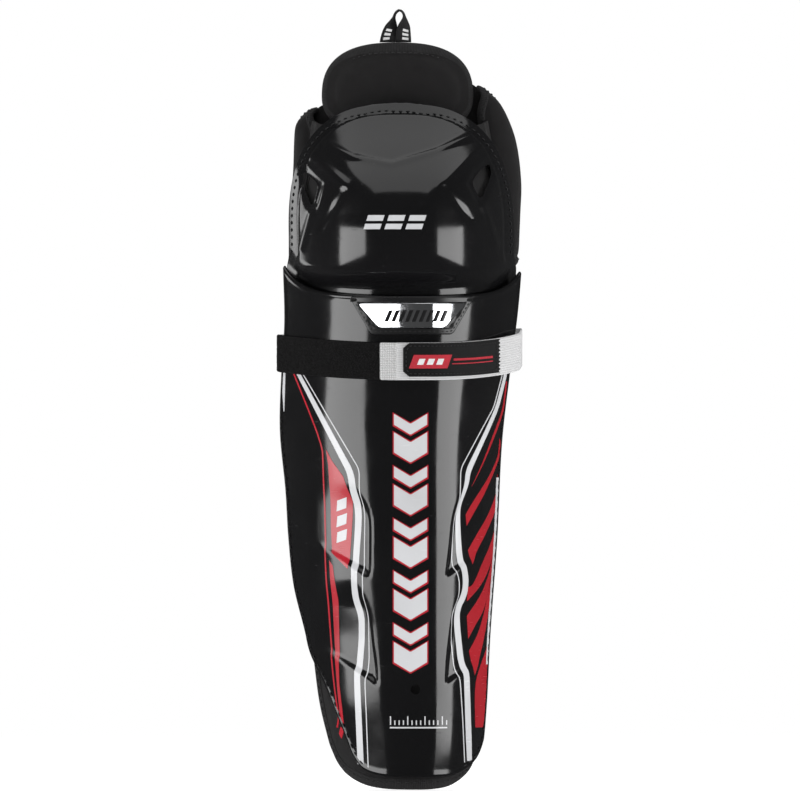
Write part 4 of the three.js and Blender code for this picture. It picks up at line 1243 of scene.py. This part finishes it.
def rounded_outline(corners, share=0.28, steps=7):
    """A closed outline with its corners rounded off."""
    corners = np.array(corners, float)
    outline = []
    for before, corner, after in zip(np.roll(corners, 1, 0), corners, np.roll(corners, -1, 0)):
        a, b = lerp(corner, before, share), lerp(corner, after, share)
        for t in np.linspace(0, 1, steps):
            outline.append(tuple(lerp(lerp(a, corner, t), lerp(corner, b, t), t)))
    return outline


def make_knee_cap():
    at = round_sheet(knee_sheet(1.0, 1.0, sunk_only=False))
    s, t = sheet_grid(162, 154, 0.95, 0.25, 0.6, 1.1, 1.8)
    piece, border = moulded("cap", at, s, t)
    for vent in VENTS:
        cut(piece, through_cutter(rounded_outline(vent), -60, 20))
    dress(piece, "shell_black", "knee", "knee_cap")
    return piece, border


def make_knee_marks(cap, border):
    bars = []
    for x in (-25, -10.5, 4):
        bars += [bar(x, x + 11.4, 389.4, 393.2, lean=1.3), bar(x + 2, x + 13.4, 395.2, 399.2, lean=1.3)]
    dress(printed("print_cap_mark", on_cap, bars, spacing=1.0), "ink_white", "knee")
    thread = border_seam("seam_cap", cap, border, KNEE_SEAM, 5.0, length=3.4, keep=lambda p: p[2] > 372)
    dress(thread, "thread_grey", "knee")


KNEE_PAD_DROP = 0.6


def make_knee_pads():
    at = round_sheet(knee_sheet(0.93, 0.8, KNEE_PAD_DROP))
    foam, _ = soft_pad("knee_foam", at, 149, 120, *KNEE_CHASSIS, corner=0, rim=(-5.2, -9.4), puff=(0, 0.8))
    dress(foam, "fabric_chassis", "knee", "knee_chassis")
    turns = np.linspace(0, 2 * np.pi, 96, endpoint=False)
    profile = np.linspace(0, 2 * np.pi, 22, endpoint=False)
    angle, radius = np.meshgrid(turns, 0.65 + 0.19 * power(np.cos(profile), 0.6), indexing="ij")
    depth = -16.2 + 2.8 * power(np.sin(profile), 0.5)
    rings = knee_sheet(1.0, 0.0, KNEE_PAD_DROP)(radius, angle, depth[None, :])
    ring = sweep("knee_liner", rings, turns * 96 * 4.0 / (2 * np.pi))
    sewn = np.abs(((turns / (2 * np.pi) * 8) % 1) - 0.5) > 0.44
    back = (np.sin(profile)[None, :] < -0.55) & ~sewn[:, None]
    soften(ring, back.ravel(), np.full(back.size, 2.6), np.full(back.size, 0.6))
    dress(ring, "fleece_grey", "knee", "knee_liner_ring")
    at = round_sheet(knee_sheet(0.4, 0.0, KNEE_PAD_DROP))
    cup, _ = soft_pad("knee_cup", at, 64, 48, *KNEE_LINER, step=4, sewn=4.5, corner=0, rim=(-13.8, -17),
                      ease=6, puff=(0, 2.6), groove=0.9)
    dress(cup, "fleece_black", "knee", "knee_cup_pad")


# ---- Thigh -----------------------------------------------------------------------------------
THIGH_DEPTH = 2 * THIGH["pad"] + THIGH["plate"] + 2 * THIGH["gap"]
THIGH_EDGE = (2.5, 9.8)


def thigh_sheet(scale):
    def point(r, angle, depth):
        rise = np.where(np.sin(angle) < 0, THIGH["drop"], THIGH["rise"])
        x = r * scale * THIGH["half"] * power(np.cos(angle), 2 / 2.6)
        z = r * scale * rise * power(np.sin(angle), 2 / 2.6)
        waist = np.where(z < 0, 1 - THIGH["waist"] * (z / THIGH["drop"]) ** 2, 1)
        return np.stack([THIGH["x"] + x * waist, -2 + depth + 0.0042 * x * x + 0.08 * z, THIGH["z"] + z], -1)

    return round_sheet(point)


def make_thigh():
    at = thigh_sheet(0.975)
    middle = sum(THIGH_EDGE) / 2
    front, _ = soft_pad("thigh_face", at, 103, 64, 0.0, THIGH["pad"], step=3.2, sewn=8.0, corner=0,
                        rim=(THIGH_EDGE[0], middle - 0.1), ease=12, groove=1.0, puff=(1.8, 0))
    dress(front, "fabric_black", "thigh", "thigh_front_pad")
    back, _ = soft_pad("thigh_lining", at, 103, 64, THIGH_DEPTH - THIGH["pad"], THIGH_DEPTH, step=3.2,
                       sewn=5.5, corner=0, rim=(middle + 0.1, THIGH_EDGE[1]), ease=8, groove=1.0,
                       puff=(0, 1.8))
    dress(back, "fleece_grey", "thigh", "thigh_back_pad")
    s, t = np.meshgrid(np.linspace(-1, 1, 41), np.linspace(0, 1, 41))
    border = Border(at(s, t, THIGH_EDGE[0]), at(s, t, THIGH_EDGE[1]))
    tape = edge_tape("thigh_tape", border, (THIGH_EDGE[1] - THIGH_EDGE[0]) / 2, 7.0)
    dress(tape, "binding_black", "thigh", "thigh_binding")
    return tape, border


LOOP = dict(width=11.0, thick=0.9, y=9.0)
LOOP_PATH = [(-6.1, 0), (-4.9, 6), (-2.9, 11.7), (-1.7, 17), (-0.6, 20.6), (2.4, 22.9), (5.1, 20.6),
             (5.9, 17), (5.5, 11.7), (4.9, 6), (5.0, 0)]
# How far the ribbon is turned edge-on, by the distance from the top of the loop.
LOOP_TURN = through((0, 1.5), (0.25, 1.45), (0.36, 1.2), (0.53, 0.72), (0.76, 0.35), (1, 0))


def loop_sheet():
    """The hang loop's ribbon: flat where it is sewn down, edge-on as it rounds the eye at the top."""
    root = np.array([THIGH["x"] - 0.9, LOOP["y"], THIGH["z"] + THIGH["rise"] + 0.25])
    path = resample(curved(LOOP_PATH, 3), 400)
    along_path = np.hstack([path, unit(np.gradient(path, axis=0))])
    number = np.arange(len(path))

    def at(k, v, depth):
        spot = k * (len(path) - 1)
        x, z, tx, tz = (np.interp(spot, number, column) for column in along_path.T)
        low = np.abs(2 * k - 1)
        turn = LOOP_TURN(low)
        sewn_down = smooth(low, 0.75, 1.0)
        along = unit(np.stack([tx, 0 * tx, tz], -1))
        tilt = -tx * np.sign(tz) * (1 - sewn_down)
        across = unit(np.stack([np.abs(tz) * np.cos(turn), np.sin(turn) + 0.02, tilt * np.cos(turn)], -1))
        out = unit(np.cross(along, across))
        # The right leg passes behind the left one where they cross.
        behind = np.where(k > 0.5, 0.9, -0.9) * smooth(low, 0.35, 0.6) * (1 - sewn_down)
        middle = root + np.stack([x, behind, z], -1)
        return middle + across * (LOOP["width"] * v)[..., None] + out * depth[..., None]

    return at


def make_hang_loop():
    """The ribbon, with woven dashes on both its faces."""
    at = loop_sheet()
    k, v = np.meshgrid(np.linspace(0, 1, 90), lines(LOOP["width"], 0.6, 0.2, 0.5) - 0.5)
    edge = np.abs(v) * 2
    half = LOOP["thick"] / 2 * (1 - 0.6 * smooth(edge, 0.9, 1.0)) + 0.10 * smooth(edge, 0.7, 0.85)
    dress(thin_sheet("loop_ribbon", at, k, v, half), "loop_ribbon", "loop", "hang_loop")
    dashes = []
    for start in (0.04, 0.10, 0.16, 0.805, 0.865, 0.925):
        offset = -0.12 if start < 0.5 else 0.12
        k, v = np.meshgrid(np.linspace(start, start + 0.035, 6), np.linspace(-0.2, 0.2, 7) + offset)
        k = k + v * 0.03
        for way in (1, -1):
            lift = np.full(k.shape, (LOOP["thick"] / 2 + 0.1) * way)
            dashes.append((at(k, v, lift), at(k, v, lift - 0.3 * way)))
    dress(sheets_object("loop_marks", dashes), "ribbon_white", "loop")


# ---- Wings -----------------------------------------------------------------------------------
def calf_wing_face(side):
    def face(a, z):
        tip = np.minimum(np.abs(2 * (z - CALF_WING["low"]) / (CALF_WING["high"] - CALF_WING["low"]) - 1), 1)
        out = a * CALF_WING["reach"] * (1 - 0.55 * tip**5)
        edge = shin_left(z) + 4.6 if side < 0 else shin_right(z) - 4.6
        x = edge - side * (0.1 * out + 0.0035 * out * out)
        return np.stack([x, side_y(z) + CALF_WING["lead"] + out, z], -1)

    return face


KNEE_WINGS = {
    "left": dict(side=-1, low=366.0, high=475.5, hinge=through((366, -67), (475.5, -55.6)),
                 outer=through((366, -76), (400, -76.6), (430, -74.3), (455, -73.4), (464, -72), (471, -66),
                               (475.5, -59))),
    "right": dict(side=1, low=366.0, high=490.5, hinge=through((366, 66), (490.5, 52.8)),
                  outer=through((366, 83), (404, 84.6), (421, 85.2), (446, 82.6), (463, 77.7), (480, 68.5),
                                (490.5, 56.2))),
}
knee_wing_y = through((366, 26), (490, 8))


def knee_wing_face(wing):
    def face(a, z):
        top = smooth(z, wing["high"] - 46, wing["high"] + 4)
        bottom = 1 - smooth(z, wing["low"] - 6, wing["low"] + 14)
        turn = np.minimum(a / KNEE_WING["turn"], 1) * (np.pi / 2)
        beyond = np.maximum(a - KNEE_WING["turn"], 0) / (1 - KNEE_WING["turn"])
        curl = wing["side"] * KNEE_WING["curl"] * beyond * beyond * (1 - top)
        x = lerp(wing["hinge"](z), wing["outer"](z), np.sin(turn)) - curl
        back = (KNEE_WING["reach"] - KNEE_WING["depth"]) * (1 - 0.7 * top) * (1 - 0.3 * bottom)
        y = knee_wing_y(z) + KNEE_WING["depth"] * (1 - 0.6 * top) * (1 - np.cos(turn)) + back * beyond
        return np.stack([x, y, z], -1)

    return face


def wing_sheet(face, side, low, high, start=0.0, end=1.0):
    """Points of a wing's layers; depth is counted inwards from its outer face."""

    def at(s, t, depth):
        z = lerp(low, high, t)
        a = lerp(start, end, (s + 1) / 2)
        z, a = np.broadcast_arrays(z, a)
        across = face(a + 0.01, z) - face(a - 0.01, z)
        upwards = face(a, z + 0.5) - face(a, z - 0.5)
        inwards = unit(np.cross(upwards, across)) * side
        return face(a, z) + inwards * np.broadcast_to(depth, z.shape)[..., None]

    return at


def wing_pad(body, at, size, layer, rim, puff, **options):
    """One padded layer of a wing: fabric if it puffs out to the front, fleece if it puffs to the back."""
    outer, inner = ("_face", "fabric_black", "_outer_pad"), ("_lining", "fleece_grey", "_inner_pad")
    kind, look, node = outer if puff[0] else inner
    width, height, corner = size
    piece, _ = soft_pad(body + kind, at, width, height, *layer, corner=corner, rim=rim, puff=puff, **options)
    dress(piece, look, body, body + node)


def make_wings():
    """Each wing is an outer and an inner pad round a stiffener. Returns the borders to bind, each as piece
    name, body, border and half the thickness there."""
    borders = []
    outer, inner = WING_LAYERS["outer"], WING_LAYERS["inner"]
    for name, side in (("left", -1), ("right", 1)):
        body = "calf_wing_" + name
        at = wing_sheet(calf_wing_face(side), side, CALF_WING["low"], CALF_WING["high"])
        size = 46, 214, 12
        wing_pad(body, at, size, outer, (2.2, 5.4), (1.8, 0), sewn=5.5, ease=8)
        wing_pad(body, at, size, inner, (5.6, 8.8), (0, 2.0), sewn=5.5, ease=8)
        borders.append((body, body, wing_border(at, size, 2.2, 8.8), 3.3))
        wing = KNEE_WINGS[name]
        body = "knee_wing_" + name
        low, high, lining_top = wing["low"], wing["high"], KNEE_WING["inner_top"]
        at = wing_sheet(knee_wing_face(wing), side, low, high)
        size = 50, high - low, 22
        wing_pad(body, at, size, outer, (0.8, 3.4), (1.6, 0), step=4, sewn=5.2, ease=6)
        borders.append((body, body, wing_border(at, size, 0.8, 3.4), 1.3))
        at = wing_sheet(knee_wing_face(wing), side, low + 1, lining_top - 1, KNEE_WING["turn"] + 0.02, 0.98)
        size = 32, lining_top - low - 2, 8
        wing_pad(body, at, size, inner, (7.6, 10.2), (0, 1.8), step=4, sewn=4.5, ease=6)
        borders.append((body + "_lining", body, wing_border(at, size, 7.6, 10.2), 1.3))
    return borders


def make_knee_web(name):
    """A web of fabric from under the knee cap's rim to the front of a knee wing."""
    wing = KNEE_WINGS[name]
    side, low, high = wing["side"], wing["low"], wing["high"]
    face = wing_sheet(knee_wing_face(wing), side, low, high)

    def at(s, t, depth):
        z = lerp(low + 4, 465.5, t)
        z_in = np.minimum(z, 458.0)
        x_in = KNEE["x"] + side * (knee_half(z_in) - 8)
        rise = np.stack([0 * z, 2.0 * smooth(z, 458, 475), (z - z_in) * 0.7], -1)
        a = on_surface(knee_y, x_in, z_in, -5.5) + rise
        b = face(np.full(z.shape, -0.86), (z - low) / (high - low), 2.0)
        bend = lerp(a, b, np.array([0.85, 0.3, 0.6]))
        k = ((s + 1) / 2)[..., None]
        fold = 0.5 * np.sin(k * 15) * np.sin(np.pi * k)
        point = lerp(lerp(a, bend, k), lerp(bend, b, k), k)
        return point + (depth[..., None] + fold) * np.array([side, 0.0, 0.0])

    web = thin_sheet("knee_web_" + name, at, *sheet_grid(26, 100, 1.0, 0.4, up=1.6), 0.7)
    dress(web, "fabric_black")
    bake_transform(web)


def make_calf_web(name, side):
    """A strip of fabric that hinges a calf wing to the back edge of the chassis."""
    edge = shin_left if side < 0 else shin_right

    def at(s, t, depth):
        z = lerp(CALF_WING["low"] + 6, CALF_WING["high"] - 6, t)
        k = (s + 1) / 2
        return np.stack([edge(z) - side * (lerp(5.6, 8.0, k) + depth), side_y(z) + lerp(-1.5, 9.5, k), z], -1)

    web = thin_sheet("calf_web_" + name, at, *sheet_grid(11, 202, 0.8, 0.4, up=2.5), 0.6)
    dress(web, "fabric_black")
    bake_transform(web)


def make_thigh_ears():
    """Thin fabric ears on the thigh guard's back, filling the corners between it and the knee wings."""
    for name, side, top, fall in (("left", -1, 476.5, 6.0), ("right", 1, 491.0, 7.0)):

        def at(s, t, depth):
            k = (s + 1) / 2
            z = lerp(457.5 + 6.5 * smooth(k, 0.3, 1.0), top - fall * smooth(k, 0.35, 1.0), t)
            y = 17.5 + 8.5 * k**1.4 + 0.08 * (z - THIGH["z"])
            return np.stack([THIGH["x"] + side * (46.0 + 15.5 * k), y + depth, z], -1)

        s, t = sheet_grid(18, 26, 1.0, 0.3, 0.8)
        edge = np.minimum(np.minimum(t, 1 - t) * 26, (1 - s) * 9)
        ear = thin_sheet("thigh_ear_" + name, at, s, t, 0.9 - 0.6 * rim_drop(edge, 0.9))
        dress(ear, "fabric_black", "thigh")


def make_thigh_web():
    """A web of fabric from behind the top of the knee cap to the front of the thigh guard."""

    def at(s, t, depth):
        x, z_out = THIGH["x"] + 34 * s, 463.0
        a = on_surface(knee_y, x, 464.0, -7.0)
        b = np.stack([x, -0.5 + 0.0042 * (34 * s) ** 2 + 0.08 * (z_out - THIGH["z"]), z_out + 0 * x], -1)
        sag = -2.2 * np.sin(np.pi * t) + 0.4 * np.sin(t * 14)
        return lerp(a, b, t[..., None]) + np.stack([0 * x, 0 * x, depth + sag], -1)

    web = thin_sheet("thigh_web", at, *sheet_grid(68, 22, 1.8, 0.4, up=1.0), 0.6)
    dress(web, "fabric_black")
    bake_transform(web)


def wing_border(at, size, front, back):
    width, height, corner = size
    s, t = sheet_lines(width, height, corner, lines(width, 4, 1, 2.5), lines(height, 4, 1, 2.5, 4, 6, 8))
    return Border(at(s, t, front), at(s, t, back))


def bind_wings(borders):
    for name, body, border, half in borders:
        tape = edge_tape(name + "_tape", border, half, 4.2)
        dress(tape, "binding_black", body)
        thread = border_seam(name + "_seam", tape, border, 3.0, 4.0, length=2.6, radius=0.36)
        dress(thread, "thread_grey", body)


# ---- Straps ----------------------------------------------------------------------------------
def strap_rise(x):
    return STRAP["z"] + np.where(x > 0, 10 * (x / STRAP["span"]) ** 4, 5.7 * (x / STRAP["span"]) ** 2)


def strap_front(x, lift, z):
    """A point of the front run, standing off the shell by lift. It eases down off the pile on its way."""
    u = shin_across(x, STRAP["z"])
    pile = PILE_LIFT + STRAP["thick"]
    over = 2.2 * smooth(u, 0.15, 0.5) * smooth(lift, pile - 0.5, pile)
    return on_surface(shin_y, x, z, lift - over + 3.8 * smooth(u, 0.6, 1.0))


def strap_rear(angle, lift, v):
    away = lift - PILE_LIFT - STRAP["thick"]
    x = STRAP["x"] + (STRAP["span"] + away) * power(np.cos(angle), 0.62)
    y = 11.5 + (STRAP["back"] - 11.5 + away) * np.abs(np.sin(angle)) ** 0.62
    ends = strap_rise(-STRAP["span"]), strap_rise(STRAP["span"])
    return np.stack([x, y, lerp(*ends, (x / STRAP["span"] + 1) / 2) + STRAP["height"] * v], -1)


class StrapRun:
    """A run of strap through front stretches, given by x, and rear stretches, given by angle."""

    def __init__(self, *stretches):
        self.kind = np.concatenate([np.full(120, kind == "rear") for kind, _, _ in stretches])
        self.where = np.concatenate([np.linspace(a, b, 120) for _, a, b in stretches])
        stations = np.arange(len(self.where))
        self.run = run_along(self.points(stations, np.full(len(stations), 2.0), np.zeros(len(stations))))
        self.length = self.run[-1]

    def points(self, index, lift, v):
        low = np.clip(np.floor(index).astype(int), 0, len(self.where) - 2)
        here, after = self.at_station(low, lift, v), self.at_station(low + 1, lift, v)
        return lerp(here, after, (index - low)[..., None])

    def at_station(self, i, lift, v):
        x = np.where(self.kind[i], 0, self.where[i])
        angle = np.where(self.kind[i], self.where[i], 1.0)
        front = strap_front(x, lift, strap_rise(x) + STRAP["height"] * v)
        return np.where(self.kind[i][..., None], strap_rear(angle, lift, v), front)

    def at(self, distance, lift, v):
        index = np.interp(distance, self.run, np.arange(len(self.run)))
        return self.points(index, lift, v)


def ribbon(name, run, lift, step, across, texture=None, thick=None, corner=(0, 0)):
    """A flat strap along a run, with rounded edges, rounded end corners and a texture of its own."""
    thick = thick or STRAP["thick"]
    along = lines(run.length, step, 0.3, 0.8) * run.length
    k, v = np.meshgrid(along, lines(STRAP["height"], across, 0.25, 0.6) - 0.5)
    for end, radius in zip((k, run.length - k), corner):
        v = v * (1 - 2 * rim_drop(end, radius) / STRAP["height"])
    edge = np.minimum(np.minimum(k, run.length - k), (0.5 - np.abs(v)) * STRAP["height"])
    drop = rim_drop(edge, thick * 0.48)
    relief = texture(k, v * STRAP["height"]) if texture else 0 * k
    lifts = lift(k) if callable(lift) else lift + 0 * k
    front = run.at(k, lifts + thick - drop + relief, v)
    back = run.at(k, lifts + drop, v)
    return closed_grid(name, front, back, np.stack([k, v * STRAP["height"]], -1), sharp=70)


def cords(k, z):
    return 0.10 * np.abs(np.sin(np.pi * z / 1.6)) + 0.03 * np.sin(k * 2.2)


def tufts(seed):
    """Matted loops: seeded fine unevenness over a slower one."""
    rng = np.random.default_rng(seed)

    def texture(k, z):
        fine = rng.uniform(-1, 1, k.shape)
        slow = np.sin(k * 0.9 + 2 * np.sin(z * 0.7)) * np.sin(z * 1.3 + np.sin(k * 0.5))
        inside = smooth(STRAP["height"] / 2 - np.abs(z), 0.2, 1.6)
        return (0.26 * fine + 0.10 * slow) * inside

    return texture


def side_x(side):
    return float(shin_left(STRAP["z"]) if side < 0 else shin_right(STRAP["z"]))


def make_straps():
    """The pile strap on the left, the white elastic round the back and across the front, and its end."""
    around = np.pi - 0.03, np.pi - 0.10, 0.03  # where the rear runs start and end, by angle
    pile_run = StrapRun(("front", 14, side_x(-1) + 0.2), ("rear", around[0], np.pi - 0.16))
    pile = ribbon("strap_loop_pile", pile_run, PILE_LIFT, 0.75, 0.75, tufts(7), thick=1.9, corner=(4, 5))
    dress(pile, "pile_black", "shin", "strap_pile")
    rear_length = StrapRun(("rear", *around[1:])).length

    def lift(k):
        return lerp(PILE_LIFT, ELASTIC_LIFT, smooth(k, rear_length - 14, rear_length + 4))

    elastic_run = StrapRun(("rear", *around[1:]), ("front", side_x(1) - 0.3, -2))
    elastic = ribbon("strap_elastic", elastic_run, lift, 1.6, 0.42, cords)
    dress(elastic, "elastic_white")
    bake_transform(elastic)
    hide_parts("strap_rear_elastic", "strap_front_elastic")
    hook = StrapRun(("front", -12.5, 6))
    patch = ribbon("strap_hooks", hook, ELASTIC_LIFT - 0.2, 0.9, 0.9, thick=1.7, corner=(1.5, 0))
    dress(patch, "hook_white", "strap_end", "strap_hook_patch")
    make_tab()


TAB = dict(x0=2.8, x1=64.6, tall=23.4, raised=1.1, chamfer=4.0, teeth=9, depth=1.3, thick=2.0)


def make_tab():
    """The end tab: chamfered at its free end and pinked at the other."""
    across = lines(STRAP["height"] + 1.5, 0.7, 0.3, 0.7) - 0.5
    k, v = np.meshgrid(lines(70, 1.0, 0.3, 0.7), across)
    teeth = TAB["depth"] * np.abs(((v * TAB["teeth"]) % 1) * 2 - 1)
    x = lerp(TAB["x0"], TAB["x1"] - teeth, k)
    half = TAB["tall"] / 2 - np.maximum(TAB["chamfer"] - (x - TAB["x0"]), 0) * 0.9
    z_off = v * 2 * half
    edge = np.minimum(np.minimum(x - TAB["x0"], TAB["x1"] - teeth - x), half - np.abs(z_off))
    drop = rim_drop(np.maximum(edge, 0), TAB["thick"] * 0.48)
    z = strap_rise(x) + TAB["raised"] + z_off
    front = strap_front(x, TAB_LIFT + TAB["thick"] - drop, z)
    back = strap_front(x, TAB_LIFT + drop - 0.4, z)
    piece = closed_grid("strap_tab", front, back, np.stack([x, z_off], -1), sharp=60)
    dress(piece, "tab_black", "strap_end", "strap_end_tab")
    make_tab_marks(piece)


def make_tab_marks(tab):
    """A label, rows of blocks and rules printed on the tab, and the seam round its edge."""

    def on_tab(x, z, lift):
        return strap_front(x, TAB_LIFT + TAB["thick"] + lift, z + strap_rise(x) - STRAP["z"])

    label = [bar(6.6, 30.0, 293.2, 302.6, lean=3.2)]
    marks = [bar(x, x + 3.6, 295.8, 299.9, lean=1.4) for x in (11.8, 17.4, 23.0)]
    rules = [bar(34.2, 59.4, 298.4, 299.9), bar(33.2, 59.4, 295.9, 296.6)]
    for name, look, shapes, lift, spacing in (
        ("tab_label", "label_red", label, 0.22, 1.0), ("tab_label_mark", "ribbon_white", marks, 0.36, 0.8),
        ("tab_lines", "label_red", rules, 0.22, 1.0),
    ):
        dress(printed(name, on_tab, shapes, lift=lift, spacing=spacing), look, "strap_end")
    outline = [(4.8, -6.6), (7.6, -9.6), (61.6, -9.6), (61.6, 9.6), (7.6, 9.6), (4.8, 6.6), (4.8, -6.6)]
    x, z = (resample(outline, 120) + (0, TAB["raised"])).T
    line = on_tab(x, STRAP["z"] + z, 0 * x)
    facing = unit(on_tab(x, STRAP["z"] + z, 1 + 0 * x) - line)
    dress(seam("seam_tab", tab, line, facing, 3.0, length=2.1, radius=0.3), "thread_grey", "strap_end")


# ---- Carried-over CAD nodes ------------------------------------------------------------------
def dress_kept_nodes():
    """The looks of the CAD nodes that are shown as they are."""
    patches = ["liner_patch_upper", "liner_patch_lower", "knee_patch_left", "knee_patch_right"]
    padded = ["thigh"] + [wing + side for wing in ("calf_wing_", "knee_wing_") for side in ("left", "right")]
    looks = [(node, "hook_black") for node in patches] + [(name + "_stiffener", "sheet") for name in padded]
    for node, look in looks:
        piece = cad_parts[node]
        piece.data.materials.clear()
        piece.data.materials.append(MATERIALS[look])


# ---- Studio ----------------------------------------------------------------------------------
def area_light(name, place, aim, width, height, radiance):
    light = bpy.data.lights.new(name, "AREA")
    light.shape = "RECTANGLE"
    light.size, light.size_y = width, height
    light.energy = radiance * width * height * math.pi
    lamp = placed(name, light)
    lamp.location = place
    lamp.rotation_euler = (Vector(aim) - Vector(place)).to_track_quat("-Z", "Y").to_euler()
    lamp.visible_camera = False


SOFTBOX = dict(azimuth=73, away=1.5, width=1.16, low=-0.14, high=0.46, radiance=5.0)
KICKER = dict(azimuth=-134, away=1.5, width=0.26, low=0.0, high=0.62, radiance=1.8)
OVERHEAD = dict(width=3.0, length=2.5, y=-0.75, z=1.9, radiance=1.25)
AROUND = dict(camera=1.0, glossy=0.06, diffuse=0.34)


def upright_box(name, box):
    """An upright softbox at an azimuth counted from the front, lit towards the middle."""
    angle = math.radians(box["azimuth"])
    middle = (box["low"] + box["high"]) / 2
    place = (box["away"] * math.sin(angle), -box["away"] * math.cos(angle), middle)
    area_light(name, place, (0, 0, middle), box["width"], box["high"] - box["low"], box["radiance"])


def make_studio():
    """Two upright softboxes at the sides, a broad one overhead, a pale floor and a white backdrop."""
    upright_box("softbox_left", dict(SOFTBOX, azimuth=-SOFTBOX["azimuth"]))
    upright_box("softbox_right", SOFTBOX)
    upright_box("kicker", KICKER)
    place, aim = ((0, OVERHEAD["y"], z) for z in (OVERHEAD["z"], 0))
    area_light("overhead", place, aim, OVERHEAD["width"], OVERHEAD["length"], OVERHEAD["radiance"])
    make_backdrop()
    make_floor()
    bpy.context.scene.view_settings.view_transform = "Standard"


def make_backdrop():
    """The surroundings: white to the camera, dark in reflections, a soft grey for everything else."""
    world = bpy.data.worlds.new("studio")
    bpy.context.scene.world = world
    world.use_nodes = True
    nodes, links = world.node_tree.nodes, world.node_tree.links
    path = nodes.new("ShaderNodeLightPath")
    seen = AROUND["diffuse"]
    for ray, level in (("Is Glossy Ray", AROUND["glossy"]), ("Is Camera Ray", AROUND["camera"])):
        mix = nodes.new("ShaderNodeMix")
        links.new(path.outputs[ray], mix.inputs[0])
        if isinstance(seen, float):
            mix.inputs[2].default_value = seen
        else:
            links.new(seen, mix.inputs[2])
        mix.inputs[3].default_value = level
        seen = mix.outputs[0]
    links.new(seen, nodes["Background"].inputs["Strength"])
    nodes["Background"].inputs["Color"].default_value = (1, 1, 1, 1)


def make_floor():
    turns = np.linspace(0, 2 * np.pi, 128, endpoint=False)
    rings = np.array([[(3000 * math.cos(a), 3000 * math.sin(a), z) for a in turns] for z in (-2.0, -0.6)])
    floor = sweep("floor", rings, closed=False)
    floor.visible_glossy = False
    floor.visible_shadow = False
    glow = dict(Emission_Color=(1, 1, 1, 1), Emission_Strength=0.7)
    pale = Shader("pale_floor", (0.88, 0.88, 0.88), 0.85, woven=False, **glow)
    floor.data.materials.append(pale.material)


def make_camera():
    """A long lens, level with the middle of the guard, so that the view is almost without perspective."""
    lens = bpy.data.cameras.new("camera")
    lens.lens = 1200
    lens.sensor_width = 36
    lens.clip_end = 60
    seen = 0.556
    distance = seen * lens.lens / lens.sensor_width
    camera = placed("camera", lens)
    camera.location = (0.00035, -distance - 0.03, 0.271)
    camera.rotation_euler = (math.pi / 2, 0, 0)
    bpy.context.scene.camera = camera


# ---- Assembly --------------------------------------------------------------------------------
shell, shell_border = make_shell()
make_prints()
make_shell_seams(shell, shell_border)
chassis_tape, chassis_border = make_chassis()
make_liner()
make_tibia_pad()
make_gusset()
make_badge()
make_knee_marks(*make_knee_cap())
make_knee_pads()
thigh_tape, thigh_border = make_thigh()
make_thigh_web()
make_thigh_ears()
make_hang_loop()
wing_borders = make_wings()
for wing, side in (("left", -1), ("right", 1)):
    make_knee_web(wing)
    make_calf_web(wing, side)
make_straps()
dress_kept_nodes()
inflate()
bind_wings(wing_borders)
for face, flip in (("front", 1), ("back", -1)):
    thread = border_seam("seam_thigh_" + face, thigh_tape, thigh_border, 5.8, 4.0, flip=flip, length=2.7,
                         radius=0.38)
    dress(thread, "thread_grey", "thigh")
dress(border_seam("seam_chassis", chassis_tape, chassis_border, 4.0, 5.0, length=3.2), "thread_grey", "shin")
make_studio()
make_camera()
